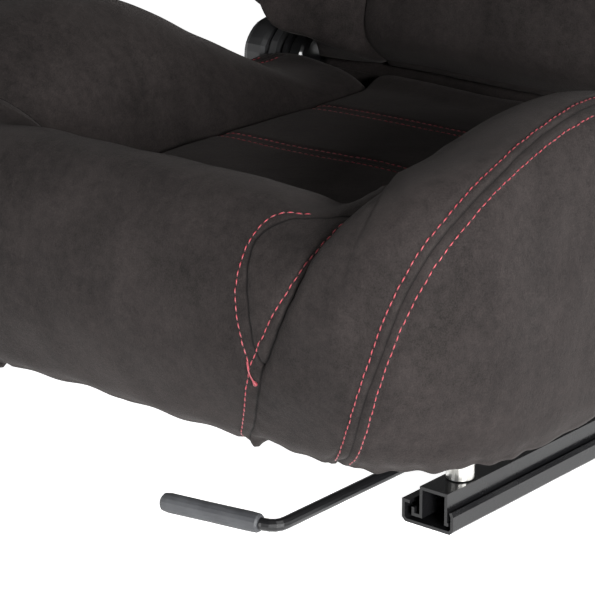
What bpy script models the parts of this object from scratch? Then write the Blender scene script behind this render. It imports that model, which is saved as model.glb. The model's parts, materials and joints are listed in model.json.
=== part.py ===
# Reclining racing seat on a pair of slide rails, modelled in metres with +Z up.
# The seat faces -Y; the occupant's left is +X. The origin is on the floor, below the middle of the seat.
import math

import bmesh
import bpy
import numpy as np
from mathutils import Matrix, Vector

# Driving dimensions -------------------------------------------------------------------------------
gap = 0.0003                    # clearance between touching pieces

seat_half_width = 0.289         # half the width over the cushion's bottom edge
roll_front = -0.046             # bottom edge of the front roll, ahead of the rails' front ends
cushion_rear = 0.454            # rear end of the thigh bolsters
cushion_base = 0.050            # height of the cushions' bottom edge
pan_height = 0.167              # height of the seam around the seat pan
roll_height = 0.231             # crest of the front roll
pan_inset = 0.129               # seat pan's seam, inboard of the cushion's bottom edge
split = 0.70                    # where the front roll meets the bolsters, along the rim
roll_half = 0.132               # half the front roll's width, to that seam
seam_clearance = 0.0015         # either side of that seam, in places along the rim

back_rake = math.radians(14.0)  # backrest angle from upright
hinge_y = 0.492                 # recliner axis behind the rails' front ends
hinge_z = 0.165
back_height = 0.745             # top of the headrest above the recliner axis
shoulder_share = 0.530 / 0.745  # the shoulders' height as a share of it
wing_overhang = 0.013           # how far the back wings stand out past the cushion's bottom edge
wing_depth = 0.150              # how far the wings reach ahead of the recliner axis
back_seam = 0.073               # wing seams inboard of the backrest's side tubes
neck_half = 0.156               # half the headrest's foot

rail_length = 0.360
rail_height = 0.017             # lower rail
rail_half = 0.0223              # half the lower rail's width
hat_top = 0.0297                # top face of the upper rail
rail_sheet = 0.0024
rail_inset = 0.037              # upper rail's middle, inboard of the cushion's bottom edge
rail_offset = 0.005             # lower rail's middle, inboard of the upper rail's
hat_half = 0.012

spacer_radius = 0.01025
bolt_radius = 0.004
bolt_y = (0.031, 0.331)         # seat bolts behind the rails' front ends
side_member_base = 0.055
side_member_height = 0.045
frame_sheet = 0.0025
tube_radius = 0.0110            # backrest tubes
cross_radius = 0.0125           # base cross tubes

shaft_radius = 0.006
running = 0.0004                # radial clearance around turning shafts
plate = 0.005                   # recliner plates
housing_radius = 0.030
housing_width = 0.0144
cover_width = 0.0135
knob_radius = 0.036
knob_width = 0.026

rod_radius = 0.0045
rod_inset = 0.053               # handle's rod, inboard of the upper rail's middle
rod_z = 0.023
rod_reach = 0.106               # how far the handle's rod stands ahead of the rails
grip_radius = 0.00705
latch_y = (0.160, 0.220)

slot_width = 0.080              # harness openings
slot_height = 0.041
slot_x = 0.072                  # middle of each harness opening
slot_rise = 0.047               # middle of the openings above the shoulders

datum_y = -0.28366              # rails' front ends, so that the origin is below the seat's middle

hat_centre = seat_half_width - rail_inset
rail_centre = hat_centre - rail_offset
rod_x = hat_centre - rod_inset
back_half_width = seat_half_width + wing_overhang

side_member_top = side_member_base + side_member_height
side_member_outer = hat_centre + 0.013
# the recliner's plates and housing lie side by side between the side member and the backrest's tube
back_tube_x = side_member_outer - housing_width - plate - tube_radius - 2 * gap
back_panel_half = back_tube_x - back_seam
side_member_inner = side_member_outer - 0.040
member_front = bolt_y[0] - 0.015
panel_top = side_member_top + gap + 0.002
foam_base = panel_top + 0.0006
spacer_height = side_member_base - hat_top - 2 * gap


# Scene, materials and mesh helpers ----------------------------------------------------------------
def clear_scene():
    for item in list(bpy.data.objects):
        bpy.data.objects.remove(item, do_unlink=True)


def make_material(name, colour, roughness, metallic=0.0):
    material = bpy.data.materials.new(name)
    material.use_nodes = True
    shader = material.node_tree.nodes["Principled BSDF"]
    shader.inputs["Base Color"].default_value = (*colour, 1.0)
    shader.inputs["Roughness"].default_value = roughness
    shader.inputs["Metallic"].default_value = metallic
    return material


def make_empty(name, location, tilt=0.0, parent=None):
    empty = bpy.data.objects.new(name, None)
    bpy.context.scene.collection.objects.link(empty)
    empty.location = location
    empty.rotation_euler = (tilt, 0.0, 0.0)
    empty.parent = parent
    return empty


def add_object(name, mesh, material, parent, smooth=False):
    item = bpy.data.objects.new(name, mesh)
    bpy.context.scene.collection.objects.link(item)
    item.parent = parent
    mesh.materials.clear()
    mesh.materials.append(material)
    if smooth:
        mesh.shade_smooth()
        mesh.set_sharp_from_angle(angle=math.radians(35.0))
    return item


def mesh_from(name, points, faces):
    # A closed mesh with all its faces turned outwards
    mesh = bpy.data.meshes.new(name)
    mesh.from_pydata([tuple(map(float, p)) for p in points], [], faces)
    shape = bmesh.new()
    shape.from_mesh(mesh)
    bmesh.ops.recalc_face_normals(shape, faces=shape.faces)
    shape.to_mesh(mesh)
    shape.free()
    return mesh


def loft(name, rings):
    # Rings of equal point count joined one to the next, with a flat cap at each end
    rings = np.asarray(rings, dtype=float)
    count, size = rings.shape[:2]
    faces = []
    for ring in range(count - 1):
        for k in range(size):
            after = (k + 1) % size
            faces.append((ring * size + k, ring * size + after,
                          (ring + 1) * size + after, (ring + 1) * size + k))
    faces.append(tuple(range(size)))
    faces.append(tuple((count - 1) * size + k for k in range(size)))
    return mesh_from(name, rings.reshape(-1, 3), faces)


def ring_loft(name, rings):
    # The same around a hole: the last ring joins back to the first
    rings = np.asarray(rings, dtype=float)
    count, size = rings.shape[:2]
    faces = []
    for ring in range(count):
        onward = (ring + 1) % count
        for k in range(size):
            after = (k + 1) % size
            faces.append((ring * size + k, ring * size + after,
                          onward * size + after, onward * size + k))
    return mesh_from(name, rings.reshape(-1, 3), faces)


def circle(radius, sides, turn=0.0):
    angle = np.arange(sides) * 2 * math.pi / sides + turn
    return radius * np.cos(angle), radius * np.sin(angle)


def along_x(stations, centre=(0.0, 0.0), sides=24, bore=None):
    # A turned piece along X from (x, radius) stations about (y, z); bore leaves a through hole
    def ring(x, radius):
        c, s = circle(radius, sides)
        return np.stack([np.full(sides, x), centre[0] + c, centre[1] + s], axis=-1)
    rings = [ring(x, radius) for x, radius in stations]
    if bore is None:
        return loft("turned", rings)
    rings += [ring(stations[-1][0], bore), ring(stations[0][0], bore)]
    return ring_loft("turned", rings)


def along_z(stations, centre, sides=20, bore=None):
    def ring(z, radius):
        c, s = circle(radius, sides)
        return np.stack([centre[0] + c, centre[1] + s, np.full(sides, z)], axis=-1)
    rings = [ring(z, radius) for z, radius in stations]
    if bore is None:
        return loft("turned", rings)
    rings += [ring(stations[-1][0], bore), ring(stations[0][0], bore)]
    return ring_loft("turned", rings)


def tube(name, points, radius, sides=12):
    # A round bar swept through the points, its section kept square to the bisector of each bend
    points = [Vector(p) for p in points]
    rings = []
    up = Vector((0.0, 0.0, 1.0))
    if abs((points[1] - points[0]).normalized().dot(up)) > 0.9:
        up = Vector((0.0, 1.0, 0.0))
    for k, point in enumerate(points):
        before = (point - points[k - 1]).normalized() if k > 0 else None
        onward = (points[k + 1] - point).normalized() if k < len(points) - 1 else None
        heading = before or onward
        if before and onward:
            heading = (before + onward).normalized()
        stretch = 1.0 / max(heading.dot(before or onward), 0.5)
        side = heading.cross(up).normalized()
        top = side.cross(heading).normalized()
        c, s = circle(radius, sides)
        bend = Vector((0.0, 0.0, 0.0))
        if before and onward:
            bend = onward - before
        along = bend.normalized() if bend.length > 1e-6 else None
        ring = []
        for a, b in zip(c, s):
            offset = side * float(a) + top * float(b)
            if along:
                offset += along * offset.dot(along) * (stretch - 1.0)
            ring.append(point + offset)
        rings.append([tuple(p) for p in ring])
    return loft(name, rings)


def prism(outline, low, high, axis):
    # A flat outline given thickness along X, Y or Z
    outline = np.asarray(outline, dtype=float)
    rings = []
    for level in (low, high):
        third = np.full(len(outline), level)
        columns = {
            "x": (third, outline[:, 0], outline[:, 1]),
            "y": (outline[:, 0], third, outline[:, 1]),
            "z": (outline[:, 0], outline[:, 1], third),
        }[axis]
        rings.append(np.stack(columns, axis=-1))
    return loft("prism", rings)


def sheet_outline(path, thickness):
    # The closed outline of a bent sheet whose middle line is the path
    path = [Vector(p) for p in path]
    left, right = [], []
    for k, point in enumerate(path):
        before = (point - path[k - 1]).normalized() if k > 0 else None
        onward = (path[k + 1] - point).normalized() if k < len(path) - 1 else None
        before = before or onward
        onward = onward or before
        heading = (before + onward).normalized()
        normal = Vector((-heading.y, heading.x))
        reach = thickness / 2 / max(heading.dot(before), 0.3)
        left.append(point + normal * reach)
        right.append(point - normal * reach)
    return [tuple(p) for p in left + right[::-1]]


def mirrored(mesh):
    # The other side's copy of a piece, with its faces turned back outwards
    other = mesh.copy()
    other.transform(Matrix.Scale(-1.0, 4, Vector((1.0, 0.0, 0.0))))
    other.flip_normals()
    return other


def cut(item, cutter_mesh):
    # Takes the cutter's shape out of the piece; the cutter is then removed
    cutter = bpy.data.objects.new("cutter", cutter_mesh)
    bpy.context.scene.collection.objects.link(cutter)
    cutter.parent = item.parent
    modifier = item.modifiers.new("cut", "BOOLEAN")
    modifier.operation = "DIFFERENCE"
    modifier.solver = "EXACT"
    modifier.object = cutter
    apply_modifiers(item)
    bpy.data.objects.remove(cutter, do_unlink=True)


def join_solid(item, other_mesh):
    other = bpy.data.objects.new("other", other_mesh)
    bpy.context.scene.collection.objects.link(other)
    other.parent = item.parent
    modifier = item.modifiers.new("join", "BOOLEAN")
    modifier.operation = "UNION"
    modifier.solver = "EXACT"
    modifier.object = other
    apply_modifiers(item)
    bpy.data.objects.remove(other, do_unlink=True)


def apply_modifiers(item):
    bpy.context.view_layer.update()
    graph = bpy.context.evaluated_depsgraph_get()
    result = bpy.data.meshes.new_from_object(item.evaluated_get(graph))
    old = item.data
    item.modifiers.clear()
    item.data = result
    bpy.data.meshes.remove(old)


def pair(name, mesh, material, parent, smooth=False):
    # left_ is the occupant's left, at +X
    left = add_object("left_" + name, mesh, material, parent, smooth)
    right = add_object("right_" + name, mirrored(mesh), material, parent, smooth)
    return left, right


# The rim: front roll and thigh bolsters -----------------------------------------------------------
# Each level is a rounded rectangle in plan: its front line, its side line and the corner's two radii,
# with the height as a share of the rim's crest. The first is the bottom edge, the seventh the crest
# and the tenth the seam around the pan.
rim_levels = (
    (0.00, 0.000, 0.000, 0.090, 0.106),
    (0.10, -0.018, 0.009, 0.088, 0.112),
    (0.36, -0.038, 0.017, 0.084, 0.118),
    (0.62, -0.040, 0.018, 0.078, 0.112),
    (0.82, -0.028, 0.014, 0.068, 0.100),
    (0.95, -0.006, 0.003, 0.056, 0.084),
    (1.00, 0.018, -0.019, 0.044, 0.066),
    (0.93, 0.048, -0.058, 0.032, 0.046),
    (0.62, 0.084, -0.100, 0.020, 0.028),
    (0.00, 0.126, -pan_inset, 0.012, 0.014),
)
# How far each level leans inboard at the bolsters' rear ends, where the crest comes down to the pan
rear_lean = (0.0, 0.0, 0.0, 0.0, 0.004, 0.014, 0.026, 0.016, 0.004, 0.0)
# The crest above the front roll's crest, at places along the rim: 0 the middle of the front,
# 1 and 2 the corner's ends, 3 the rear end
crest_places = (0, 0.53, 0.72, 0.81, 0.87, 0.94, 1.0, 1.25, 1.5, 1.75, 2.0, 2.094, 2.187, 2.281, 2.37, 2.47,
                2.59, 2.726, 2.834, 2.942, 3.0)
crest_rise = (0.0, -0.001, -0.003, -0.007, -0.007, 0.002, 0.015, 0.026, 0.032, 0.0375, 0.043, 0.050,
              0.0535, 0.0545, 0.0475, 0.0315, 0.0045, -0.0245, -0.0435, -0.0535, -0.0530)


def rim_point(place, share, front, side, a, b, height=None):
    front += roll_front
    side += seat_half_width
    if place < split:
        x, y = roll_half * place / split, front
    elif place < 1:
        x, y = roll_half + (side - a - roll_half) * (place - split) / (1 - split), front
    elif place < 2:
        turn = (place - 1) * math.pi / 2
        x, y = side - a + a * math.sin(turn), front + b - b * math.cos(turn)
    else:
        x, y = side, front + b + (place - 2) * (cushion_rear - front - b)
    crest = roll_height + float(np.interp(place, crest_places, crest_rise))
    if height is not None:
        z = height
    else:
        z = cushion_base + (crest - cushion_base) * share
    return x, y, z


def rim_ring(place):
    ring = []
    for k, level in enumerate(rim_levels):
        point = list(rim_point(abs(place), *level))
        point[0] -= rear_lean[k] * float(np.interp(abs(place), (2.4, 3.0), (0.0, 1.0)))
        if k == 9:
            point[2] = pan_height
        elif k > 6:
            crest = rim_point(abs(place), *rim_levels[6])[2]
            point[2] = pan_height + (crest - pan_height) * level[0]
        ring.append(point)
    # under the foam: down beside the pan, out above the frame, and down inside the bottom edge
    lip = side_member_outer + 0.006 - seat_half_width
    ring.append(rim_point(abs(place), 0, 0.127, -pan_inset - 0.001, 0.011, 0.013, foam_base))
    ring.append(rim_point(abs(place), 0, 0.022, lip, 0.055, 0.066, foam_base))
    ring.append(rim_point(abs(place), 0, 0.016, lip + 0.004, 0.058, 0.072, cushion_base + 0.002))
    if place < 0:
        ring = [(-x, y, z) for x, y, z in ring]
    return ring


def make_rim(parent, material):
    edge = split - seam_clearance
    places = np.linspace(-edge, edge, 9)
    add_object("front_roll_cushion", loft("roll", [rim_ring(p) for p in places]),
               material, parent, True)
    places = np.concatenate([[split + seam_clearance, 0.8, 0.9], np.linspace(1.0, 2.0, 7),
                             (2.1, 2.2, 2.3, 2.37, 2.45, 2.55, 2.67, 2.8, 2.92, 3.0)])
    pair("thigh_bolster", loft("bolster", [rim_ring(p) for p in places]), material, parent, True)


def make_pan(parent, material, frame_material):
    half = seat_half_width - pan_inset - 0.0016
    front = roll_front + 0.127 + 0.0006
    rear = hinge_y - shaft_radius - 0.010
    corner = 0.010

    def plan(inset, z):
        ring = []
        centre_y = (front + rear) / 2
        length = (rear - front) / 2 - inset
        width = half - inset
        for k in range(24):
            turn = 2 * math.pi * (k + 0.5) / 24
            x = math.copysign(1.0, math.cos(turn)) * (width - corner) + corner * math.cos(turn)
            y = math.copysign(1.0, math.sin(turn)) * (length - corner) + corner * math.sin(turn)
            ring.append((x, centre_y + y, z))
        return ring
    rings = [plan(0.008, foam_base), plan(0.0, foam_base + 0.006), plan(0.0, pan_height - 0.008),
             plan(0.006, pan_height - 0.001), plan(0.050, pan_height + 0.003)]
    add_object("seat_pan_cushion", loft("pan", rings), material, parent, True)

    # pressed steel tray across the side members
    low = side_member_top + gap
    outer = side_member_outer - 0.006
    tray_front, tray_rear = member_front, hinge_y - shaft_radius - 0.016
    outline = [(-outer, tray_front), (outer, tray_front), (outer, tray_rear), (-outer, tray_rear)]
    add_object("seat_tray", prism(outline, low, panel_top, "z"), frame_material, parent)


# Rails, spacers and base frame --------------------------------------------------------------------
def make_rails(root, materials):
    t = rail_sheet
    # lower rail: flat floor, lips turned in over the upper rail's flanges; + is outboard
    lower = [(rail_centre - rail_half + 0.0068, rail_height - t / 2),
             (rail_centre - rail_half + t / 2, rail_height - t / 2),
             (rail_centre - rail_half + t / 2, 0.0035),
             (rail_centre - rail_half + 0.0035, t / 2),
             (rail_centre + rail_half - 0.0035, t / 2),
             (rail_centre + rail_half - t / 2, 0.0035),
             (rail_centre + rail_half - t / 2, rail_height - 0.0035),
             (hat_centre + hat_half + 0.0016 + t / 2, rail_height - 0.0004)]
    mesh = prism(sheet_outline(lower, t), 0.0, rail_length, "y")
    left, right = pair("lower_rail", mesh, materials["rail"], root)
    for item, side in ((left, 1), (right, -1)):
        for y in (0.060, rail_length - 0.060):
            cut(item, along_z([(-0.01, 0.0043), (0.010, 0.0043)], (side * (rail_centre - 0.002), y), 12))

    # upper rail: a hat whose flanges run under the lips
    low = 0.0072
    upper = [(hat_centre - hat_half - 0.0056, 0.0125),
             (hat_centre - hat_half - 0.0056, low),
             (hat_centre - hat_half + t / 2, low),
             (hat_centre - hat_half + t / 2, hat_top - t / 2),
             (hat_centre + hat_half - t / 2, hat_top - t / 2),
             (hat_centre + hat_half - t / 2, low),
             (hat_centre + hat_half + 0.0010, low)]
    mesh = prism(sheet_outline(upper, t), 0.0, rail_length, "y")
    left, right = pair("upper_rail", mesh, materials["rail"], root)
    for item, side in ((left, 1), (right, -1)):
        for y in bolt_y:
            cut(item, along_z([(hat_top - 0.005, bolt_radius + gap), (hat_top + 0.01, bolt_radius + gap)],
                              (side * hat_centre, y), 12))

    # roller cages between the rails' floors, half as long as the rails
    middle, half = rail_length / 2, rail_length * 0.3
    height = (t + low - t / 2) / 2
    strip = [(hat_centre - 0.0160, height - 0.0005), (hat_centre + 0.0130, height - 0.0005),
             (hat_centre + 0.0130, height + 0.0005), (hat_centre - 0.0160, height + 0.0005)]
    mesh = prism(strip, middle - half, middle + half, "y")
    left = add_object("left_roller_cage", mesh, materials["zinc"], root)
    roller = (low - t / 2 - t) / 2 - 0.0002
    for k in range(4):
        y = middle - half + 0.012 + k * (2 * half - 0.024) / 3
        join_solid(left, along_x([(hat_centre - 0.0145, roller), (hat_centre + 0.0110, roller)],
                                 (y, height), 10))
    add_object("right_roller_cage", mirrored(left.data), materials["zinc"], root)


def hex_rings(stations, sides=12):
    # (position, radius, hexagon?) stations; a hexagon's radius is half its width across flats
    rings = []
    for position, radius, six in stations:
        angle = np.arange(sides) * 2 * math.pi / sides
        reach = np.full(sides, radius)
        if six:
            reach = radius / np.cos((angle + math.pi / 6) % (math.pi / 3) - math.pi / 6)
        rings.append((position, reach * np.cos(angle), reach * np.sin(angle)))
    return rings


def make_fasteners(root, materials):
    for end, y in zip(("front", "rear"), bolt_y):
        spacer = along_z([(hat_top + gap, spacer_radius - 0.0006), (hat_top + gap + 0.0006, spacer_radius),
                          (hat_top + gap + spacer_height - 0.0006, spacer_radius),
                          (hat_top + gap + spacer_height, spacer_radius - 0.0006)],
                         (hat_centre, y), 24, bolt_radius + gap)
        pair(end + "_spacer", spacer, materials["zinc"], root, True)
        web = side_member_base + frame_sheet + gap
        under = hat_top - rail_sheet - gap
        stations = [(under - 0.0045, 0.0065, True), (under, 0.0065, True), (under, bolt_radius, False),
                    (web, bolt_radius, False), (web, 0.0065, True), (web + 0.0065, 0.0065, True),
                    (web + 0.0065, bolt_radius, False), (web + 0.0090, bolt_radius, False)]
        rings = [np.stack([hat_centre + a, y + b, np.full(12, z)], axis=-1)
                 for z, a, b in hex_rings(stations)]
        pair(end + "_seat_bolt", loft("bolt", rings), materials["zinc"], root)


def make_base_frame(root, materials):
    t = frame_sheet
    path = [(side_member_inner, side_member_base + t / 2),
            (side_member_outer - t / 2, side_member_base + t / 2),
            (side_member_outer - t / 2, side_member_top - t / 2),
            (side_member_inner, side_member_top - t / 2)]
    mesh = prism(sheet_outline(path, t), member_front, hinge_y + 0.034, "y")
    for item, side in zip(pair("side_member", mesh, materials["frame"], root), (1, -1)):
        for y in bolt_y:
            hole = along_z([(side_member_base - 0.01, bolt_radius + gap),
                            (side_member_base + 0.01, bolt_radius + gap)], (side * hat_centre, y), 12)
            cut(item, hole)
    reach = side_member_outer - t - gap
    middle = (side_member_base + side_member_top) / 2
    for name, y in (("front_cross_tube", bolt_y[0] + 0.030), ("rear_cross_tube", hinge_y - 0.075)):
        mesh = along_x([(-reach, cross_radius), (reach, cross_radius)], (y, middle), 16)
        add_object(name, mesh, materials["frame"], root, True)


# Slide release ------------------------------------------------------------------------------------
latch_pivot_x = hat_centre - hat_half - 0.0200
latch_pivot_z = rail_height + 0.0085
finger_reach = 0.0090           # the rod's finger over the left latch, from the rod's middle


def make_release(root, materials):
    # bent rod with a rubber grip, turning about the rod's long run
    axis = make_empty("handle_axis", (rod_x, 0.0, rod_z), 0.0, root)
    back = latch_y[1] + 0.006
    bend = 0.010
    tip = Vector((-0.0893, -rod_reach - 0.0158, 0.0))
    corner = Vector((0.0, -rod_reach, 0.0))
    toward = (tip - corner).normalized()
    points = [(0.0, back, 0.0), (0.0, -rod_reach + bend, 0.0)]
    for k in range(1, 4):
        s = k / 4
        start = Vector((0.0, -rod_reach + bend, 0.0))
        finish = corner + toward * bend
        points.append(tuple(start * (1 - s) ** 2 + corner * 2 * s * (1 - s) + finish * s ** 2))
    points.append(tuple(corner + toward * bend))
    grip_start = 0.0125
    points.append(tuple(corner + toward * (grip_start - gap)))
    rod = add_object("handle_rod", tube("rod", points, rod_radius, 12), materials["frame"], axis, True)
    rest = latch_pivot_z + 0.0050 - rod_z + gap
    finger = [(-0.0025, 0.0030), (0.0030, 0.0020), (0.0066, rest), (finger_reach, rest),
              (finger_reach, rest + 0.0025), (0.0040, rest + 0.0025)]
    join_solid(rod, prism(finger, latch_y[1] - 0.014, latch_y[1] - 0.006, "y"))

    side = toward.cross(Vector((0.0, 0.0, 1.0)))
    length = (tip - corner).length
    profile = [(grip_start, 0.82), (grip_start + 0.0015, 0.96), (grip_start + 0.008, 1.0),
               (length * 0.6, 0.98), (length - 0.006, 1.0), (length - 0.0015, 0.9), (length, 0.66)]
    rings = []
    for distance, share in profile:
        c, s = circle(grip_radius * share, 16)
        rings.append([tuple(corner + toward * distance + side * float(a) + Vector((0, 0, float(b))))
                      for a, b in zip(c, s)])
    add_object("handle_grip", loft("grip", rings), materials["grip"], axis, True)

    # bracket that carries the rod, on the upper rail's inboard wall
    wall = hat_centre - hat_half - gap
    outline = [(rod_x - 0.0085, rod_z - 0.0080), (rod_x + 0.0085, rod_z - 0.0080),
               (rod_x + 0.0150, rail_height + 0.0020), (wall, rail_height + 0.0020),
               (wall, rod_z + 0.0055), (rod_x + 0.0085, rod_z + 0.0085), (rod_x - 0.0085, rod_z + 0.0085)]
    item = add_object("handle_bracket", prism(outline, 0.070, 0.073, "y"), materials["frame"], root)
    c, s = circle(rod_radius + running, 16)
    hole = prism(list(zip(rod_x + c, rod_z + s)), 0.060, 0.080, "y")
    cut(item, hole)

    # latch plates: they see-saw on a pin beside the upper rail, teeth over the lower rail's lip
    px, pz = latch_pivot_x, latch_pivot_z
    first, last = latch_y
    pin = 0.0022
    ears = [(px - 0.0050, pz - 0.0045), (wall, pz - 0.0045), (wall, pz + 0.0040), (px - 0.0050, pz + 0.0040)]
    bracket = add_object("left_latch_bracket", prism(ears, first - 0.0045, first - 0.0015, "y"),
                         materials["zinc"], root)
    join_solid(bracket, prism(ears, last + 0.0015, last + 0.0045, "y"))
    back_wall = [(wall - 0.0022, pz - 0.0045), (wall, pz - 0.0045), (wall, pz + 0.0040),
                 (wall - 0.0022, pz + 0.0040)]
    join_solid(bracket, prism(back_wall, first - 0.0030, last + 0.0030, "y"))
    c, s = circle(pin, 12)
    join_solid(bracket, prism(list(zip(px + c, pz + s)), first - 0.0030, last + 0.0030, "y"))
    add_object("right_latch_bracket", mirrored(bracket.data), materials["zinc"], root)

    lip_top = rail_height + gap + 0.0002
    tooth_x = hat_centre - hat_half - 0.0105
    arm = [(px - 0.0130, pz + 0.0050), (px - 0.0130, pz + 0.0032), (px - 0.0045, pz - 0.0038),
           (px + 0.0040, pz - 0.0038), (tooth_x - 0.0035, lip_top + 0.0018), (tooth_x - 0.0035, lip_top),
           (tooth_x, lip_top), (tooth_x, lip_top + 0.0042), (px + 0.0036, pz + 0.0040),
           (px - 0.0040, pz + 0.0050)]
    for name, side in (("left", 1), ("right", -1)):
        pivot = make_empty(name + "_latch_axis", (side * px, 0.0, pz), 0.0, root)
        mesh = prism(arm, first, last, "y")
        tab = [(px - 0.0030, pz - 0.0030), (px + 0.0030, pz - 0.0030), (px + 0.0020, pz + 0.0170),
               (px - 0.0020, pz + 0.0170)]
        if side < 0:
            tab = [(px - 0.0030, pz + 0.0030), (px + 0.0030, pz + 0.0030), (px - 0.0010, pz - 0.0155),
                   (px - 0.0050, pz - 0.0155)]
        holder = add_object(name + "_latch", mesh, materials["zinc"], None)
        join_solid(holder, prism(tab, first + 0.0240, first + 0.0265, "y"))
        c, s = circle(pin + running, 12)
        cut(holder, prism(list(zip(px + c, pz + s)), first - 0.01, last + 0.01, "y"))
        for k in range(3):
            y = first + 0.0080 + 0.0180 * k
            notch = [(px + 0.0046, lip_top - 0.01), (px + 0.0200, lip_top - 0.01),
                     (px + 0.0200, lip_top + 0.0022), (px + 0.0046, lip_top + 0.0022)]
            cut(holder, prism(notch, y, y + 0.0090, "y"))
        if side < 0:
            holder.data = mirrored(holder.data)
        holder.data.transform(Matrix.Translation((-side * px, 0.0, -pz)))
        holder.parent = pivot

    # link rod from the left latch's upper tab to the right latch's lower tab
    y = first + 0.0265 + 0.0004 + 0.0020
    points = [(px + 0.0010, y, pz + 0.0130), (px - 0.030, y, pz + 0.0130), (-px + 0.030, y, pz - 0.0120),
              (-px + 0.0010, y, pz - 0.0120)]
    add_object("release_link", tube("link", points, 0.0020, 8), materials["zinc"], root, True)


# Recliner -----------------------------------------------------------------------------------------
def hull_of_circles(circles, sides=16):
    # The outline wrapped round circles given as (y, z, radius)
    cloud = []
    for y, z, radius in circles:
        c, s = circle(radius, sides, math.pi / sides)
        cloud += list(zip(y + c, z + s))
    cloud = sorted(set((round(a, 7), round(b, 7)) for a, b in cloud))

    def half(points):
        chain = []
        for p in points:
            while len(chain) > 1:
                (ax, ay), (bx, by) = chain[-2], chain[-1]
                if (bx - ax) * (p[1] - ay) - (by - ay) * (p[0] - ax) > 1e-9:
                    break
                chain.pop()
            chain.append(p)
        return chain[:-1]
    return half(cloud) + half(cloud[::-1])


arm_inner = back_tube_x + tube_radius + gap
housing_inner = arm_inner + plate + gap
bracket_inner = housing_inner + housing_width + gap
cover_inner = bracket_inner + plate + 0.0060
knob_inner = cover_inner + cover_width + gap
bracket_bolt_drop = 0.087


def bolt_along_x(x, y, z, head, shank):
    # A hexagon head outside x and a short shank inside it
    stations = [(x - shank, bolt_radius, False), (x + gap, bolt_radius, False), (x + gap, 0.0065, True),
                (x + gap + head, 0.0065, True)]
    rings = [np.stack([np.full(12, p), y + a, z + b], axis=-1) for p, a, b in hex_rings(stations)]
    return loft("bolt", rings)


def make_recliner_base(root, materials):
    hole = shaft_radius + running
    bolt_z = hinge_z - bracket_bolt_drop
    outline = hull_of_circles([(hinge_y, hinge_z, housing_radius + 0.003),
                               (hinge_y - 0.016, bolt_z, 0.018), (hinge_y + 0.014, bolt_z, 0.018)])
    mesh = prism(outline, bracket_inner, bracket_inner + plate, "x")
    brackets = pair("recliner_bracket", mesh, materials["frame"], root)
    for item, side in zip(brackets, (1, -1)):
        for y, z, radius in ((hinge_y, hinge_z, hole), (hinge_y, bolt_z, bolt_radius + gap)):
            cutter = along_x([(bracket_inner - 0.01, radius), (bracket_inner + 0.02, radius)], (y, z), 16)
            cut(item, cutter if side > 0 else mirrored(cutter))
    mesh = along_x([(housing_inner, housing_radius - 0.002), (housing_inner + 0.002, housing_radius),
                    (housing_inner + housing_width - 0.002, housing_radius),
                    (housing_inner + housing_width, housing_radius - 0.002)],
                   (hinge_y, hinge_z), 28, hole)
    pair("recliner_housing", mesh, materials["frame"], root, True)
    mesh = bolt_along_x(bracket_inner + plate, hinge_y, bolt_z, 0.0050, plate - gap)
    pair("bracket_bolt", mesh, materials["zinc"], root)

    # moulded cover over the bracket
    outlines = []
    for x, inset in ((0.0, 0.0), (cover_width * 0.6, 0.001), (cover_width, 0.006)):
        ring = hull_of_circles([(hinge_y, hinge_z, housing_radius + 0.005 - inset),
                                (hinge_y, bolt_z + 0.006, housing_radius - 0.006 - inset)])
        outlines.append(np.array([(cover_inner + x, y, z) for y, z in ring]))
    covers = pair("recliner_cover", loft("cover", outlines), materials["plastic"], root, True)
    for item, side in zip(covers, (1, -1)):
        cutter = along_x([(cover_inner - 0.01, hole), (knob_inner + 0.01, hole)], (hinge_y, hinge_z), 16)
        cut(item, cutter if side > 0 else mirrored(cutter))


def make_knobs(root, materials):
    axis = make_empty("knob_axis", (0.0, hinge_y, hinge_z), 0.0, root)
    reach = knob_inner + knob_width * 0.5
    add_object("recliner_shaft", along_x([(-reach, shaft_radius), (reach, shaft_radius)], (0, 0), 14),
               materials["frame"], axis, True)
    sides = 32
    angle = np.arange(sides) * 2 * math.pi / sides
    lobes = 1.0 - 0.035 * (0.5 + 0.5 * np.cos(8 * angle))
    rings = []
    for x, share in ((0.0, 0.93), (0.004, 1.0), (knob_width - 0.006, 0.97), (knob_width, 0.86)):
        radius = knob_radius * share * (1.0 - (1.0 - lobes) * (1.0 if share > 0.9 else 0.3))
        rings.append(np.stack([np.full(sides, knob_inner + x), radius * np.cos(angle),
                               radius * np.sin(angle)], axis=-1))
    knob = loft("knob", rings)
    left, right = pair("recliner_knob", knob, materials["plastic"], axis, True)
    for item, side in ((left, 1), (right, -1)):
        socket = along_x([(knob_inner - 0.01, shaft_radius + gap), (reach + gap, shaft_radius + gap)],
                         (0, 0), 14)
        cut(item, socket if side > 0 else mirrored(socket))


# Backrest, in its own frame: x sideways, y back from the recliner axis, z up along the back --------
back_rear = tube_radius + 0.0072          # rear face of the foam
foam_back = -0.0080                       # the centre foam's rear face
pad_front = -0.066                        # front of the centre cushion
wing_inner = arm_inner + plate + 0.0067
shoulder_h = back_height * shoulder_share
centre_top = shoulder_h - 0.030
neck_h = shoulder_h + 0.117


def narrowing(wide, narrow, shares):
    # Half widths between the shoulders' and the neck's
    return [wide + (narrow - wide) * share for share in shares]


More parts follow.
